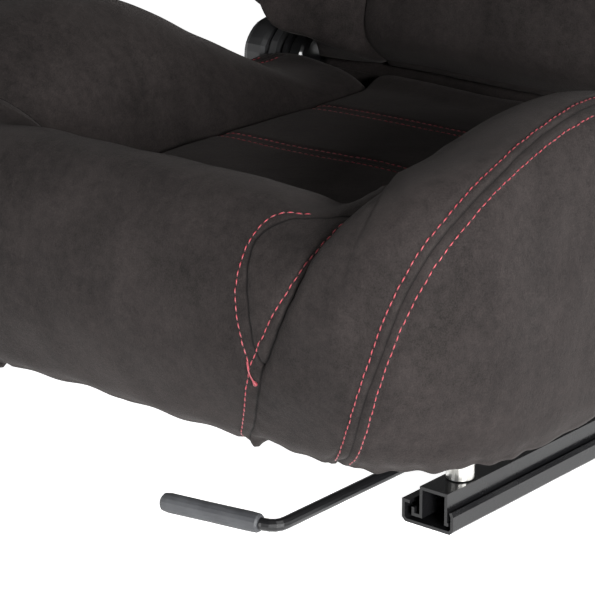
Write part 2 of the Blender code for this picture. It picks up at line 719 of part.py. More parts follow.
def wing_ring(share):
    # One level cut through the left wing; share runs 0 to 1 from its foot to the shoulder
    h = 0.038 + (shoulder_h - 0.0005 - 0.038) * share
    width = back_half_width + float(np.interp(share, (0, 0.2, 0.5, 0.78, 0.9, 1.0),
                                              (-0.020, -0.006, 0.0, -0.004, -0.022, -0.048)))
    depth = wing_depth * float(np.interp(share, (0, 0.12, 0.4, 0.65, 0.8, 0.92, 1.0),
                                         (0.84, 0.97, 1.0, 0.90, 0.72, 0.52, 0.44)))
    inner = back_panel_half + 0.0006
    outline = [(inner, pad_front), (inner + 0.30 * (width - inner), pad_front - 0.45 * (depth + pad_front)),
               (inner + 0.56 * (width - inner), -depth + 0.010), (inner + 0.70 * (width - inner), -depth),
               (inner + 0.86 * (width - inner), -depth + 0.012), (width - 0.002, -depth + 0.045),
               (width, -depth * 0.35), (width - 0.004, 0.002), (width - 0.014, back_rear),
               (wing_inner, back_rear), (wing_inner, foam_back), (inner, foam_back)]
    ring = []
    for x, y in outline:
        lift = max(0.0, -y - 0.050) * 0.30
        if x < arm_inner - 0.012:
            lift -= 0.020
        ring.append((x, y, h + lift * max(0.0, 1.0 - share / 0.30)))
    return ring


def make_back_cushions(axis, materials):
    suede = materials["suede"]
    shares = (0, 0.06, 0.12, 0.2, 0.3, 0.4, 0.5, 0.6, 0.7, 0.78, 0.84, 0.9, 0.95, 1.0)
    pair("back_wing", loft("wing", [wing_ring(s) for s in shares]), suede, axis, True)

    # centre cushion with a lumbar swell
    rings = []
    base = 0.0095
    for share, tuck in ((0, 0.040), (0.012, 0.022), (0.030, 0.009), (0.060, 0.001), (0.12, 0), (0.25, 0),
                        (0.4, 0), (0.6, 0), (0.8, 0), (0.97, 0), (1.0, 0.006)):
        h = base + (centre_top - base) * share
        front = pad_front + tuck - 0.006 * math.exp(-((share - 0.28) / 0.2) ** 2)
        inset = 0.003 if share in (0, 1.0) else 0.0
        half = back_panel_half - inset
        rings.append([(-half, foam_back, h), (half, foam_back, h), (half, front + inset, h),
                      (half * 0.6, front - 0.004 + inset, h), (0, front - 0.006 + inset, h),
                      (-half * 0.6, front - 0.004 + inset, h), (-half, front + inset, h)])
    add_object("back_centre_cushion", loft("centre", rings), suede, axis, True)

    # shoulder cushion around the harness openings, wrapped over the frame's top
    low = centre_top + 0.0006
    step = shoulder_h + 0.0006
    inner = back_panel_half
    halves = narrowing(back_tube_x + 0.012, neck_half + 0.002, (0.0, 0.20, 0.59, 1.0))
    heights = (step, step + 0.030, step + 0.070, neck_h - 0.0006)
    right_side = [(inner, low), (inner, step)] + list(zip(halves, heights))
    outline = right_side + [(-x, h) for x, h in right_side[::-1]]
    upper = add_object("shoulder_cushion", prism(outline, pad_front, back_rear, "y"), suede, axis)
    halves = narrowing(back_tube_x - 0.008, neck_half - 0.008, (0.0, 0.36, 0.70, 1.0))
    heights = (step + 0.010, step + 0.034, step + 0.072, neck_h - 0.004)
    pocket = [(inner + 0.02, low - 0.01)] + list(zip(halves, heights))
    pocket += [(-x, h) for x, h in pocket[::-1]]
    cut(upper, prism(pocket, foam_back, back_rear + 0.01, "y"))
    for side in (1, -1):
        cut(upper, slot_prism(side, 0.0028 + gap, pad_front - 0.02, back_rear + 0.02))

    # headrest
    rings = []
    for share, wider, front in ((0, 0.0, 0.0), (0.08, 0.002, -0.004), (0.3, -0.002, -0.010),
                                (0.6, -0.010, -0.012), (0.85, -0.028, -0.006), (0.95, -0.044, 0.004),
                                (1.0, -0.066, 0.016)):
        half = neck_half + wider
        h = neck_h + (back_height - neck_h) * share
        rings.append([(-half, back_rear - 0.004, h), (-half + 0.008, back_rear, h),
                      (half - 0.008, back_rear, h), (half, back_rear - 0.004, h),
                      (half, pad_front + 0.014 + front, h), (half - 0.014, pad_front + front, h),
                      (0, pad_front - 0.004 + front, h), (-half + 0.014, pad_front + front, h),
                      (-half, pad_front + 0.014 + front, h)])
    add_object("headrest_cushion", loft("headrest", rings), suede, axis, True)


def slot_outline(side, grow):
    # A rounded harness opening, larger all round by grow
    half, tall, corner = slot_width / 2 + grow, slot_height / 2 + grow, 0.012 + grow
    points = []
    for k in range(16):
        turn = 2 * math.pi * (k + 0.5) / 16
        x = math.copysign(half - corner, math.cos(turn)) + corner * math.cos(turn)
        z = math.copysign(tall - corner, math.sin(turn)) + corner * math.sin(turn)
        points.append((side * slot_x + x, shoulder_h + slot_rise + z))
    return points


def slot_prism(side, grow, low, high):
    return prism(slot_outline(side, grow), low, high, "y")


def make_bezels(axis, materials):
    # tunnel through the foam with a flange on the front
    def ring(grow, y):
        return np.array([(x, y, z) for x, z in slot_outline(1, grow)])
    front = pad_front - gap
    rear = back_rear + 0.0085
    rings = [ring(0.0, front - 0.0030), ring(0.0085, front - 0.0022), ring(0.0090, front),
             ring(0.0028, front), ring(0.0028, rear), ring(0.0, rear)]
    pair("harness_bezel", ring_loft("bezel", rings), materials["plastic"], axis, True)


arm_bolt = (0.0050, 0.145)


def arm_outline(radius):
    # A round eye on the recliner axis with a neck up the tube's side, behind the foam
    front, rear, top = foam_back + 0.0010, back_rear - 0.0010, 0.162
    start = math.acos(front / radius)
    finish = 2 * math.pi + math.acos(rear / radius)
    outline = [(radius * math.cos(a), radius * math.sin(a)) for a in np.linspace(start, finish, 22)]
    return outline + [(rear, top - 0.006), (rear - 0.006, top), (front + 0.006, top), (front, top - 0.006)]


def make_back_frame(axis, materials):
    frame = materials["frame"]
    neck_tube_x = neck_half - 0.022
    halves = narrowing(back_tube_x, neck_tube_x, (0.0, 0.0, 0.21, 0.61, 0.83, 1.0))
    heights = (0.014, shoulder_h - 0.100, shoulder_h - 0.030, shoulder_h + 0.030, shoulder_h + 0.070,
               shoulder_h + 0.100)
    points = [(x, tube_radius - 0.005, h) for x, h in zip(halves, heights)]
    pair("back_upright", tube("upright", points, tube_radius, 10), frame, axis, True)
    reach = back_tube_x - tube_radius - gap
    mesh = along_x([(-reach, tube_radius), (reach, tube_radius)], (tube_radius - 0.005, 0.060), 12)
    add_object("lower_back_tube", mesh, frame, axis, True)
    reach = neck_tube_x - tube_radius - 0.0015
    mesh = along_x([(-reach, tube_radius), (reach, tube_radius)],
                   (tube_radius - 0.005, shoulder_h + 0.097), 12)
    add_object("upper_back_tube", mesh, frame, axis, True)
    # sheet behind the centre cushion
    wide, narrow = back_tube_x - 0.020, back_tube_x - 0.050
    outline = [(-wide, 0.075), (wide, 0.075), (wide, centre_top - 0.080), (narrow, centre_top - 0.010),
               (-narrow, centre_top - 0.010), (-wide, centre_top - 0.080)]
    add_object("back_support_sheet", prism(outline, foam_back + gap, foam_back + gap + 0.0020, "y"),
               frame, axis)

    # recliner arms beside the tubes, and their bolts
    outline = arm_outline(housing_radius - 0.002)
    mesh = prism(outline, arm_inner, arm_inner + plate, "x")
    arms = pair("back_arm", mesh, frame, axis)
    for item, side in zip(arms, (1, -1)):
        for y, z, radius in ((0.0, 0.0, shaft_radius + running),
                             (arm_bolt[0], arm_bolt[1], bolt_radius + gap)):
            cutter = along_x([(arm_inner - 0.01, radius), (arm_inner + 0.02, radius)], (y, z), 16)
            cut(item, cutter if side > 0 else mirrored(cutter))
    mesh = bolt_along_x(arm_inner + plate, *arm_bolt, 0.0050, plate - gap)
    pair("arm_bolt", mesh, materials["zinc"], axis)


def make_back_shell(axis, materials):
    # rear panel over the frame and the wings' inner edges
    half = wing_inner + 0.010
    top = back_height - 0.012
    foot = back_tube_x - 0.015
    halves = narrowing(back_tube_x + 0.008, neck_half - 0.002, (0.0, 0.22, 0.59, 1.0))
    heights = (shoulder_h, shoulder_h + 0.030, shoulder_h + 0.070, neck_h)
    right_side = [(foot, 0.030), (foot, 0.165), (half, 0.182), (half, shoulder_h - 0.040)]
    right_side += list(zip(halves, heights))
    right_side += [(neck_half - 0.010, neck_h + 0.050), (neck_half - 0.036, top - 0.012),
                   (neck_half - 0.061, top)]
    outline = right_side + [(-x, h) for x, h in right_side[::-1]]
    low = back_rear + gap
    shell = add_object("back_shell", prism(outline, low, low + 0.0080, "y"), materials["shell"], axis)
    for side in (1, -1):
        cut(shell, slot_prism(side, 0.0028 + gap, low - 0.01, low + 0.03))


def main():
    clear_scene()
    materials = {
        "suede": make_material("suede", (0.055, 0.048, 0.046), 0.9),
        "shell": make_material("shell", (0.030, 0.030, 0.031), 0.6),
        "rail": make_material("rail_paint", (0.012, 0.012, 0.013), 0.25, 0.6),
        "frame": make_material("frame_paint", (0.015, 0.015, 0.016), 0.35, 0.5),
        "zinc": make_material("zinc", (0.72, 0.73, 0.74), 0.3, 1.0),
        "grip": make_material("grip_rubber", (0.085, 0.087, 0.092), 0.75),
        "plastic": make_material("moulded_plastic", (0.020, 0.020, 0.021), 0.45),
    }
    root = make_empty("seat_datum", (0.0, datum_y, 0.0))
    make_rails(root, materials)
    make_fasteners(root, materials)
    make_base_frame(root, materials)
    make_rim(root, materials["suede"])
    make_pan(root, materials["suede"], materials["frame"])
    make_release(root, materials)
    make_recliner_base(root, materials)
    make_knobs(root, materials)
    axis = make_empty("recline_axis", (0.0, hinge_y, hinge_z), -back_rake, root)
    make_back_cushions(axis, materials)
    make_bezels(axis, materials)
    make_back_frame(axis, materials)
    make_back_shell(axis, materials)


main()
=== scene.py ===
import json
import math

import bmesh
import bpy
import numpy as np
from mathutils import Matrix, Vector
from mathutils.bvhtree import BVHTree


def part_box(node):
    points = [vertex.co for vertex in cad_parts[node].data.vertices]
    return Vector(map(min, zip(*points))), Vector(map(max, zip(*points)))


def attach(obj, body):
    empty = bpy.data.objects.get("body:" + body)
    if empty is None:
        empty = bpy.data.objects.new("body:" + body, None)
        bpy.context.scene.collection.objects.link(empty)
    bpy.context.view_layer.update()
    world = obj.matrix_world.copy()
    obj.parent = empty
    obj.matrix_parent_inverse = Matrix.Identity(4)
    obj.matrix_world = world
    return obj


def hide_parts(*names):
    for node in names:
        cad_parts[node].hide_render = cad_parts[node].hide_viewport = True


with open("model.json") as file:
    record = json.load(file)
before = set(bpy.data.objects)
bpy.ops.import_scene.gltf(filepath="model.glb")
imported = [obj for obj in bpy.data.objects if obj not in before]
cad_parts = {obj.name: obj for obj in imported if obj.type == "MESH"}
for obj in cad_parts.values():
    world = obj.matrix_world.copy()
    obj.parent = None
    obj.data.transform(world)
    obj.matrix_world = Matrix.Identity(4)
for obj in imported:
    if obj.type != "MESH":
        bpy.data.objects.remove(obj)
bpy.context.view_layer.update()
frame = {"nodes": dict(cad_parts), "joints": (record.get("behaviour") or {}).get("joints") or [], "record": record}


# ---- numpy helpers
def corners(node):
    # a frame node's lowest and highest corner as arrays
    low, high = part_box(node)
    return np.array(low), np.array(high)


def throughPoints(points, perSpan=16, closed=False):
    # Catmull-Rom: each span is the cubic whose end slopes are half the chord between its neighbours
    p = np.asarray(points, float)
    if closed:
        p = np.concatenate([p[-1:], p, p[:2]])
    else:
        p = np.concatenate([2 * p[:1] - p[1:2], p, 2 * p[-1:] - p[-2:-1]])
    f = (np.arange(perSpan) / perSpan).reshape((1, -1) + (1,) * (p.ndim - 1))
    a, b, c, d = (p[k:len(p) - 3 + k, None] for k in range(4))
    curve = 0.5 * (2 * b + (c - a) * f + (2 * a - 5 * b + 4 * c - d) * f ** 2
                   + (3 * b - a - 3 * c + d) * f ** 3)
    curve = curve.reshape((-1,) + p.shape[1:])
    return curve if closed else np.concatenate([curve, p[-2:-1]])


def spacedBy(line, *others, step=None, count=None):
    # points at even distances along a line, with other columns read at the same places
    reach = np.concatenate([[0], np.cumsum(np.linalg.norm(np.diff(line, axis=0), axis=1))])
    count = count or max(int(round(reach[-1] / step)) + 1, 2)
    at = np.linspace(0, reach[-1], count)
    read = [np.stack([np.interp(at, reach, column) for column in part.T], -1) for part in (line, *others)]
    return read[0] if not others else read


def crowded(count, pull=0.6):
    # shares 0 to 1, closer together towards the ends: a share less a sine of it
    u = np.linspace(0, 1, count)
    return u - pull * np.sin(2 * math.pi * u) / (2 * math.pi)


def unit(v):
    return v / np.maximum(np.linalg.norm(v, axis=-1, keepdims=True), 1e-12)


def lineDistance(points, line):
    # distance from each point to a line of short spans, and how far along the line the nearest place is
    line = np.asarray(line, float)
    reach = np.concatenate([[0], np.cumsum(np.linalg.norm(np.diff(line, axis=0), axis=1))])
    best = np.full(len(points), 1e9)
    along = np.zeros(len(points))
    square = (line ** 2).sum(1)
    for k in range(0, len(points), 20000):
        p = points[k:k + 20000]
        nearest = (square - 2 * p @ line.T).argmin(1)
        for step in (-1, 0):
            first = np.clip(nearest + step, 0, len(line) - 2)
            a, b = line[first], line[first + 1]
            share = np.clip(((p - a) * (b - a)).sum(1) / np.maximum(((b - a) ** 2).sum(1), 1e-12), 0, 1)
            gap = np.linalg.norm(p - a - (b - a) * share[:, None], axis=1)
            closer = gap < best[k:k + 20000]
            best[k:k + 20000][closer] = gap[closer]
            along[k:k + 20000][closer] = (reach[first] + share * (reach[first + 1] - reach[first]))[closer]
    return best, along


def ripples(points, wave, seed, count=7):
    # a smooth random field between about -1 and 1: a sum of sines in random directions
    rng = np.random.default_rng(seed)
    total = np.zeros(len(points))
    for _ in range(count):
        way = unit(rng.normal(size=3)) * 2 * math.pi / (wave * rng.uniform(0.7, 1.5))
        total += np.sin(points @ way + rng.uniform(0, 2 * math.pi))
    return total / math.sqrt(count)


def gridFaces(rows, columns, start=0, flip=False, wrapRows=False, wrapColumns=False):
    # quads of a grid of points numbered row by row; flip turns them over
    i = np.arange(rows if wrapRows else rows - 1)[:, None]
    j = np.arange(columns if wrapColumns else columns - 1)[None, :]
    a, b = i * columns + j, i * columns + (j + 1) % columns
    c, d = ((i + 1) % rows) * columns + (j + 1) % columns, ((i + 1) % rows) * columns + j
    quads = np.stack([a, b, c, d], -1).reshape(-1, 4) + start
    return quads[:, ::-1] if flip else quads


def addPiece(name, points, faces, material, smooth=True, merge=0.0, outward=False, attributes=None):
    # a mesh object at the origin from arrays; merge closes seams and poles
    mesh = bpy.data.meshes.new(name)
    faces = [tuple(map(int, face)) for face in faces]
    mesh.from_pydata(np.asarray(points, float).tolist(), [], faces)
    for key, values in (attributes or {}).items():
        layer = mesh.attributes.new(key, "FLOAT", "POINT")
        layer.data.foreach_set("value", np.asarray(values, np.float32))
    if merge or outward:
        shape = bmesh.new()
        shape.from_mesh(mesh)
        if merge:
            bmesh.ops.remove_doubles(shape, verts=shape.verts, dist=merge)
            bmesh.ops.dissolve_degenerate(shape, edges=shape.edges, dist=merge)
        big = [face for face in shape.faces if len(face.verts) > 4]
        if big:
            bmesh.ops.triangulate(shape, faces=big)
        if outward:
            bmesh.ops.recalc_face_normals(shape, faces=shape.faces)
        shape.to_mesh(mesh)
        shape.free()
    mesh.polygons.foreach_set("use_smooth", np.full(len(mesh.polygons), smooth))
    mesh.materials.append(material)
    piece = bpy.data.objects.new(name, mesh)
    bpy.context.scene.collection.objects.link(piece)
    return piece


def pointsOf(piece):
    points = np.zeros(len(piece.data.vertices) * 3)
    piece.data.vertices.foreach_get("co", points)
    return points.reshape(-1, 3)


def normalsOf(piece):
    normals = np.zeros(len(piece.data.vertices) * 3, np.float32)
    piece.data.vertices.foreach_get("normal", normals)
    return normals.reshape(-1, 3).astype(float)


def movePoints(piece, points):
    piece.data.vertices.foreach_set("co", np.asarray(points, np.float32).ravel())
    piece.data.update()


# ---- shader helpers
class Wire:
    # a socket in a shader; arithmetic on it adds Math nodes
    def __init__(self, tree, socket):
        self.tree, self.socket = tree, socket

    def math(self, operation, other):
        return addNode(self.tree, "ShaderNodeMath", {"operation": operation}, {0: self, 1: other})

    def __add__(self, other):
        return self.math("ADD", other)

    def __sub__(self, other):
        return self.math("SUBTRACT", other)

    def __mul__(self, other):
        return self.math("MULTIPLY", other)


def addNode(tree, kind, settings=None, values=None, output=0):
    # one node of a type, its settings first and then the values or links of its sockets
    node = tree.nodes.new(kind)
    for key, value in (settings or {}).items():
        setattr(node, key, value)
    for key, value in (values or {}).items():
        if isinstance(value, Wire):
            tree.links.new(value.socket, node.inputs[key])
        else:
            node.inputs[key].default_value = value
    return Wire(tree, node.outputs[output])


def addMaterial(name, values):
    material = bpy.data.materials.new(name)
    material.use_nodes = True
    shader = material.node_tree.nodes["Principled BSDF"]
    for key, value in values.items():
        shader.inputs[key].default_value = value
    return material, material.node_tree, shader


def place(tree, scale=(1, 1, 1), turn=(0, 0, 0)):
    where = addNode(tree, "ShaderNodeTexCoord", output=3)
    return addNode(tree, "ShaderNodeMapping", values={"Vector": where, "Scale": scale, "Rotation": turn})


def noise(tree, where, scale, detail=2.0, rough=0.5):
    return addNode(tree, "ShaderNodeTexNoise", values={"Vector": where, "Scale": scale, "Detail": detail,
                                                       "Roughness": rough})


def mixColour(tree, share, first, second):
    return addNode(tree, "ShaderNodeMix", {"data_type": "RGBA"}, {0: share, 6: first, 7: second}, 2)


def ramp(tree, value, low, high, first, second):
    # one colour where the value is low, the other where it is high
    return mixColour(tree, limits(tree, value, low, high), first, second)


def bump(tree, height, distance, strength=1.0, under=None):
    values = {"Height": height, "Distance": distance, "Strength": strength}
    if under:
        values["Normal"] = under
    return addNode(tree, "ShaderNodeBump", values=values)


def limits(tree, value, low, high, lowOut=0.0, highOut=1.0):
    return addNode(tree, "ShaderNodeMapRange", {"clamp": True},
                   {0: value, 1: low, 2: high, 3: lowOut, 4: highOut})


def wire(tree, output, socket):
    tree.links.new(output.socket, socket)


# ---- finishes
suedeLook = {
    "dark": (0.0056, 0.0045, 0.0043, 1), "light": (0.0270, 0.0222, 0.0212, 1),
    # seam is the colour of the painted shade along seams and channels
    "seam": (0.0015, 0.0012, 0.0012, 1), "sheen": 0.05, "sheenTint": (0.80, 0.74, 0.72, 1),
    "brushScale": 9.0, "streakScale": 34.0, "mottleScale": 150.0, "grainScale": 900.0, "napScale": 1900.0,
    "toneLow": 0.39, "toneHigh": 0.65, "napDepth": 0.00040, "mottleDepth": 0.0007,
}


def makeSuede(name, look):
    # microsuede: brushed patches, cloudy nap and fine fibre over a near-black brown, with painted shade darkening
    # it along the seams
    material, tree, shader = addMaterial(name, {
        "Roughness": 0.92, "Specular IOR Level": 0.14, "Sheen Weight": look["sheen"], "Sheen Roughness": 0.45,
        "Sheen Tint": look["sheenTint"]})
    where = place(tree)
    patches = noise(tree, where, look["brushScale"], 5, 0.60)
    streaks = noise(tree, place(tree, (1.0, 1.0, 0.35), (0.3, 0.5, 0.2)), look["streakScale"], 4, 0.6)
    mottle = noise(tree, where, look["mottleScale"], 5, 0.68)
    clumps = noise(tree, where, look["grainScale"], 3, 0.65)
    grain = noise(tree, where, look["napScale"], 2, 0.7)
    tone = patches * 0.26 + streaks * 0.16 + mottle * 0.28 + clumps * 0.34 + grain * 0.10 - 0.07
    colour = ramp(tree, tone, look["toneLow"], look["toneHigh"], look["dark"], look["light"])
    # the seam attribute is a painted shade mask: it darkens the colour along seams and channels, where shade falls
    seam = addNode(tree, "ShaderNodeAttribute", {"attribute_name": "seam"}, output=2)
    colour = ramp(tree, seam, 0.05, 0.85, colour, look["seam"])
    wire(tree, colour, shader.inputs["Base Color"])
    rough = limits(tree, mottle, 0.3, 0.7, 0.86, 0.97)
    wire(tree, rough, shader.inputs["Roughness"])
    soft = bump(tree, mottle, look["mottleDepth"], 0.6)
    nap = clumps * 0.7 + grain * 0.3
    wire(tree, bump(tree, nap, look["napDepth"], 1.0, soft), shader.inputs["Normal"])
    return material


# dark and light span the thread from painted shade at the stitch ends to painted highlight on the crowns, also
# spread by fibre tone
threadLook = {"dark": (0.075, 0.0030, 0.006, 1), "light": (0.46, 0.050, 0.072, 1), "fibreScale": 1400.0,
              "fibreDepth": 0.00025}


def makeThread(look):
    # twisted polyester thread: crimson with fibre tone, a painted highlight on each stitch's crown and painted
    # shade at its dipping ends
    material, tree, shader = addMaterial("crimsonThread", {
        "Roughness": 0.42, "Specular IOR Level": 0.55, "Sheen Weight": 0.25, "Sheen Roughness": 0.3})
    where = place(tree)
    fibre = noise(tree, where, look["fibreScale"], 2, 0.6)
    spread = noise(tree, where, 60.0, 2, 0.5)
    crown = addNode(tree, "ShaderNodeAttribute", {"attribute_name": "crown"}, output=2)
    # painted highlight along each stitch's crown, plus real fibre and spread tone
    tone = crown * 0.62 + fibre * 0.28 + spread * 0.16
    wire(tree, ramp(tree, tone, 0.42, 0.98, look["dark"], look["light"]), shader.inputs["Base Color"])
    wire(tree, bump(tree, fibre, look["fibreDepth"], 0.8), shader.inputs["Normal"])
    return material


# each paint as colour, roughness and the depth of its peel
paintLook = {"railPaint": ((0.005, 0.005, 0.0055, 1), 0.26, 0.00005),
             "framePaint": ((0.006, 0.006, 0.0065, 1), 0.30, 0.00008),
             "skinScale": 420.0, "cloudScale": 16.0, "dustScale": 260.0, "dustShare": 0.35}


def makeGlossPaint(name, look):
    # powder-coated steel: faint orange peel, dust and slightly duller patches
    base, roughness, peel = look[name]
    material, tree, shader = addMaterial(name, {
        "Base Color": base, "Roughness": roughness, "Specular IOR Level": 0.32, "Coat Weight": 0.10,
        "Coat Roughness": 0.08})
    where = place(tree)
    skin = noise(tree, where, look["skinScale"], 2, 0.5)
    cloud = noise(tree, where, look["cloudScale"], 4, 0.6)
    dust = limits(tree, noise(tree, where, look["dustScale"], 5, 0.75), 0.60, 0.78)
    lifted = tuple(c * 2.4 + 0.010 for c in base[:3]) + (1,)
    wire(tree, mixColour(tree, dust * look["dustShare"], base, lifted), shader.inputs["Base Color"])
    wire(tree, limits(tree, cloud, 0.3, 0.7, roughness * 0.8, roughness * 1.35), shader.inputs["Roughness"])
    wire(tree, bump(tree, skin, peel, 0.6), shader.inputs["Normal"])
    return material


zincLook = {"bright": (0.74, 0.74, 0.73, 1), "dull": (0.50, 0.49, 0.45, 1), "lineScale": 380.0,
            "bloomScale": 70.0, "lineDepth": 0.00006}


def makeZinc(look):
    # bright zinc plate: turned lines and passivate bloom
    material, tree, shader = addMaterial("zincPlate", {
        "Base Color": (0.66, 0.66, 0.64, 1), "Metallic": 1.0, "Roughness": 0.28})
    lines = noise(tree, place(tree, (0.15, 0.15, 6.0)), look["lineScale"], 3, 0.6)
    bloom = noise(tree, place(tree), look["bloomScale"], 4, 0.6)
    wire(tree, ramp(tree, bloom, 0.35, 0.7, look["bright"], look["dull"]), shader.inputs["Base Color"])
    wire(tree, limits(tree, bloom * 0.6 + lines * 0.4, 0.3, 0.7, 0.18, 0.42), shader.inputs["Roughness"])
    wire(tree, bump(tree, lines, look["lineDepth"], 0.5), shader.inputs["Normal"])
    return material


rubberLook = {"dark": (0.028, 0.029, 0.032, 1), "light": (0.052, 0.054, 0.058, 1), "pebbleScale": 900.0,
              "cloudScale": 55.0, "pebbleDepth": 0.00012}


def makeRubber(look):
    # dipped grip: dark grey, satin, with a pebbled skin
    material, tree, shader = addMaterial("gripRubber", {"Roughness": 0.6, "Specular IOR Level": 0.4})
    where = place(tree)
    pebble = addNode(tree, "ShaderNodeTexVoronoi", {"feature": "SMOOTH_F1"},
                     {"Vector": where, "Scale": look["pebbleScale"]})
    cloud = noise(tree, where, look["cloudScale"], 4, 0.6)
    wire(tree, ramp(tree, cloud, 0.3, 0.7, look["dark"], look["light"]), shader.inputs["Base Color"])
    wire(tree, limits(tree, cloud, 0.3, 0.7, 0.50, 0.70), shader.inputs["Roughness"])
    wire(tree, bump(tree, pebble, look["pebbleDepth"], 0.7), shader.inputs["Normal"])
    return material


plasticLook = {"dark": (0.016, 0.016, 0.017, 1), "light": (0.028, 0.028, 0.029, 1), "grainScale": 1500.0,
               "cloudScale": 24.0, "grainDepth": 0.00010}


def makePlastic(look):
    # moulded plastic with a spark-eroded grain
    material, tree, shader = addMaterial("mouldedPlastic", {"Roughness": 0.48, "Specular IOR Level": 0.45})
    where = place(tree)
    grain = noise(tree, where, look["grainScale"], 2, 0.6)
    cloud = noise(tree, where, look["cloudScale"], 4, 0.6)
    wire(tree, ramp(tree, cloud, 0.3, 0.7, look["dark"], look["light"]), shader.inputs["Base Color"])
    wire(tree, limits(tree, cloud * 0.7 + grain * 0.3, 0.3, 0.7, 0.40, 0.58), shader.inputs["Roughness"])
    wire(tree, bump(tree, grain, look["grainDepth"], 0.8), shader.inputs["Normal"])
    return material


shellLook = {"dark": (0.018, 0.018, 0.018, 1), "light": (0.042, 0.040, 0.040, 1), "weaveScale": 260.0,
             "cloudScale": 14.0, "weaveDepth": 0.00022}


def makeShellCloth(look):
    # smooth backing cloth: a fine plain weave over a moulded panel
    material, tree, shader = addMaterial("shellCloth", {
        "Roughness": 0.8, "Sheen Weight": 0.2, "Specular IOR Level": 0.3})
    where = place(tree)
    threads = [addNode(tree, "ShaderNodeTexWave", {"bands_direction": way},
                       {"Vector": where, "Scale": look["weaveScale"]}) for way in "XZ"]
    warp, weft = (addNode(tree, "ShaderNodeSeparateColor", values={0: w}) for w in threads)
    cloud = noise(tree, where, look["cloudScale"], 4, 0.6)
    weave = warp * weft
    tone = cloud * 0.6 + weave * 0.4
    wire(tree, ramp(tree, tone, 0.25, 0.75, look["dark"], look["light"]), shader.inputs["Base Color"])
    wire(tree, bump(tree, weave, look["weaveDepth"], 0.8), shader.inputs["Normal"])
    return material


finishes = {
    "suede": makeSuede("suede", suedeLook),
    "shell_cloth": makeShellCloth(shellLook),
    "rail_paint": makeGlossPaint("railPaint", paintLook),
    "frame_paint": makeGlossPaint("framePaint", paintLook),
    "zinc": makeZinc(zincLook),
    "grip_rubber": makeRubber(rubberLook),
    "moulded_plastic": makePlastic(plasticLook),
}
thread = makeThread(threadLook)
for part in frame["record"]["subparts"]:
    node = frame["nodes"][part["node"]]
    node.data.materials.clear()
    node.data.materials.append(finishes[part["material_slot"]])
print("finishes made")


# ---- camera, floor and light
cameraLook = {"place": (1.2749, -1.6679, 0.7525), "azimuth": 39.6, "elevation": 18.7, "lens": 162.5}


def makeCamera(look):
    a, e = math.radians(look["azimuth"]), math.radians(look["elevation"])
    ahead = Vector((-math.cos(e) * math.sin(a), math.cos(e) * math.cos(a), -math.sin(e)))
    data = bpy.data.cameras.new("camera")
    data.lens, data.sensor_width = look["lens"], 36.0
    data.clip_start, data.clip_end = 0.05, 100.0
    camera = bpy.data.objects.new("camera", data)
    camera.location = look["place"]
    camera.rotation_mode = "QUATERNION"
    camera.rotation_quaternion = ahead.to_track_quat("-Z", "Y")
    bpy.context.scene.collection.objects.link(camera)
    bpy.context.scene.camera = camera


lightLook = {
    "world": 0.022, "floorGlow": 0.97, "aim": (0.05, -0.1, 0.15),
    # place, size in metres, power in watts
    "front": ((2.25, -1.5, 0.64), 0.9, 148.0),
    "left": ((-1.0, -2.9, 0.50), 1.1, 30.0),
    "top": ((1.7, -0.4, 1.9), 0.9, 14.0),
    "rim": ((2.2, 1.6, 1.4), 1.2, 12.0),
}


def makeLights(look):
    world = bpy.data.worlds.new("studio")
    world.use_nodes = True
    bpy.context.scene.world = world
    sky = world.node_tree.nodes["Background"]
    sky.inputs["Color"].default_value = (1.0, 0.995, 0.985, 1)
    sky.inputs["Strength"].default_value = look["world"]
    for name in ("front", "left", "top", "rim"):
        where, size, power = look[name]
        data = bpy.data.lights.new(name, "AREA")
        data.shape, data.size, data.energy = "DISK", size, power
        lamp = bpy.data.objects.new(name, data)
        lamp.location = where
        toward = Vector(look["aim"]) - Vector(where)
        lamp.rotation_mode = "QUATERNION"
        lamp.rotation_quaternion = toward.to_track_quat("-Z", "Y")
        bpy.context.scene.collection.objects.link(lamp)
    material, _, _ = addMaterial("floor", {
        "Base Color": (0.86, 0.86, 0.86, 1), "Roughness": 0.7, "Specular IOR Level": 0.2,
        "Emission Color": (1, 1, 1, 1), "Emission Strength": look["floorGlow"]})
    half = 14.0
    floor = addPiece("floor", [(-half, -half, 0), (half, -half, 0), (half, half, 0), (-half, half, 0)],
                     [(0, 1, 2, 3)], material, smooth=False)


makeCamera(cameraLook)
makeLights(lightLook)
bpy.context.scene.view_settings.view_transform = "Standard"
print("camera and light made")


# ---- stitching
stitchLook = {"pitch": 0.0060, "length": 0.0061, "radius": 0.00045, "sides": 8}


def capsules(centres, tangents, normals, length, radius, sides=8):
    # sewn loops: a bent bead for each centre, its ends dipping under the cloth
    share = np.linspace(-1, 1, 7)
    girth = radius * np.sqrt(np.clip(1 - np.abs(share) ** 4, 0.06, 1))
    lift = radius * (0.75 - 2.1 * np.abs(share) ** 3.2)
    turn = np.arange(sides) * 2 * math.pi / sides
    local = np.stack([
        np.broadcast_to((share * length / 2)[:, None], (7, sides)),
        girth[:, None] * np.cos(turn),
        girth[:, None] * np.sin(turn) * 0.9 + lift[:, None]], -1).reshape(-1, 3)
    side = unit(np.cross(normals, tangents))
    up = unit(np.cross(tangents, side))
    axes = np.stack([tangents, side, up], 1)
    points = centres[:, None] + np.einsum("pk,nkc->npc", local, axes)
    faces = gridFaces(7, sides, wrapColumns=True)
    caps = [tuple(range(sides))[::-1], tuple(6 * sides + k for k in range(sides))]
    # crown is 1 on the top middle of each stitch, where the thread's painted highlight goes, and 0 at the ends,
    # which get painted shade
    middle = np.exp(-(local[:, 0] / (length * 0.30)) ** 4)
    crown = np.clip(local[:, 2] / (radius * 1.6), 0, 1) * middle
    return points, faces, caps, crown


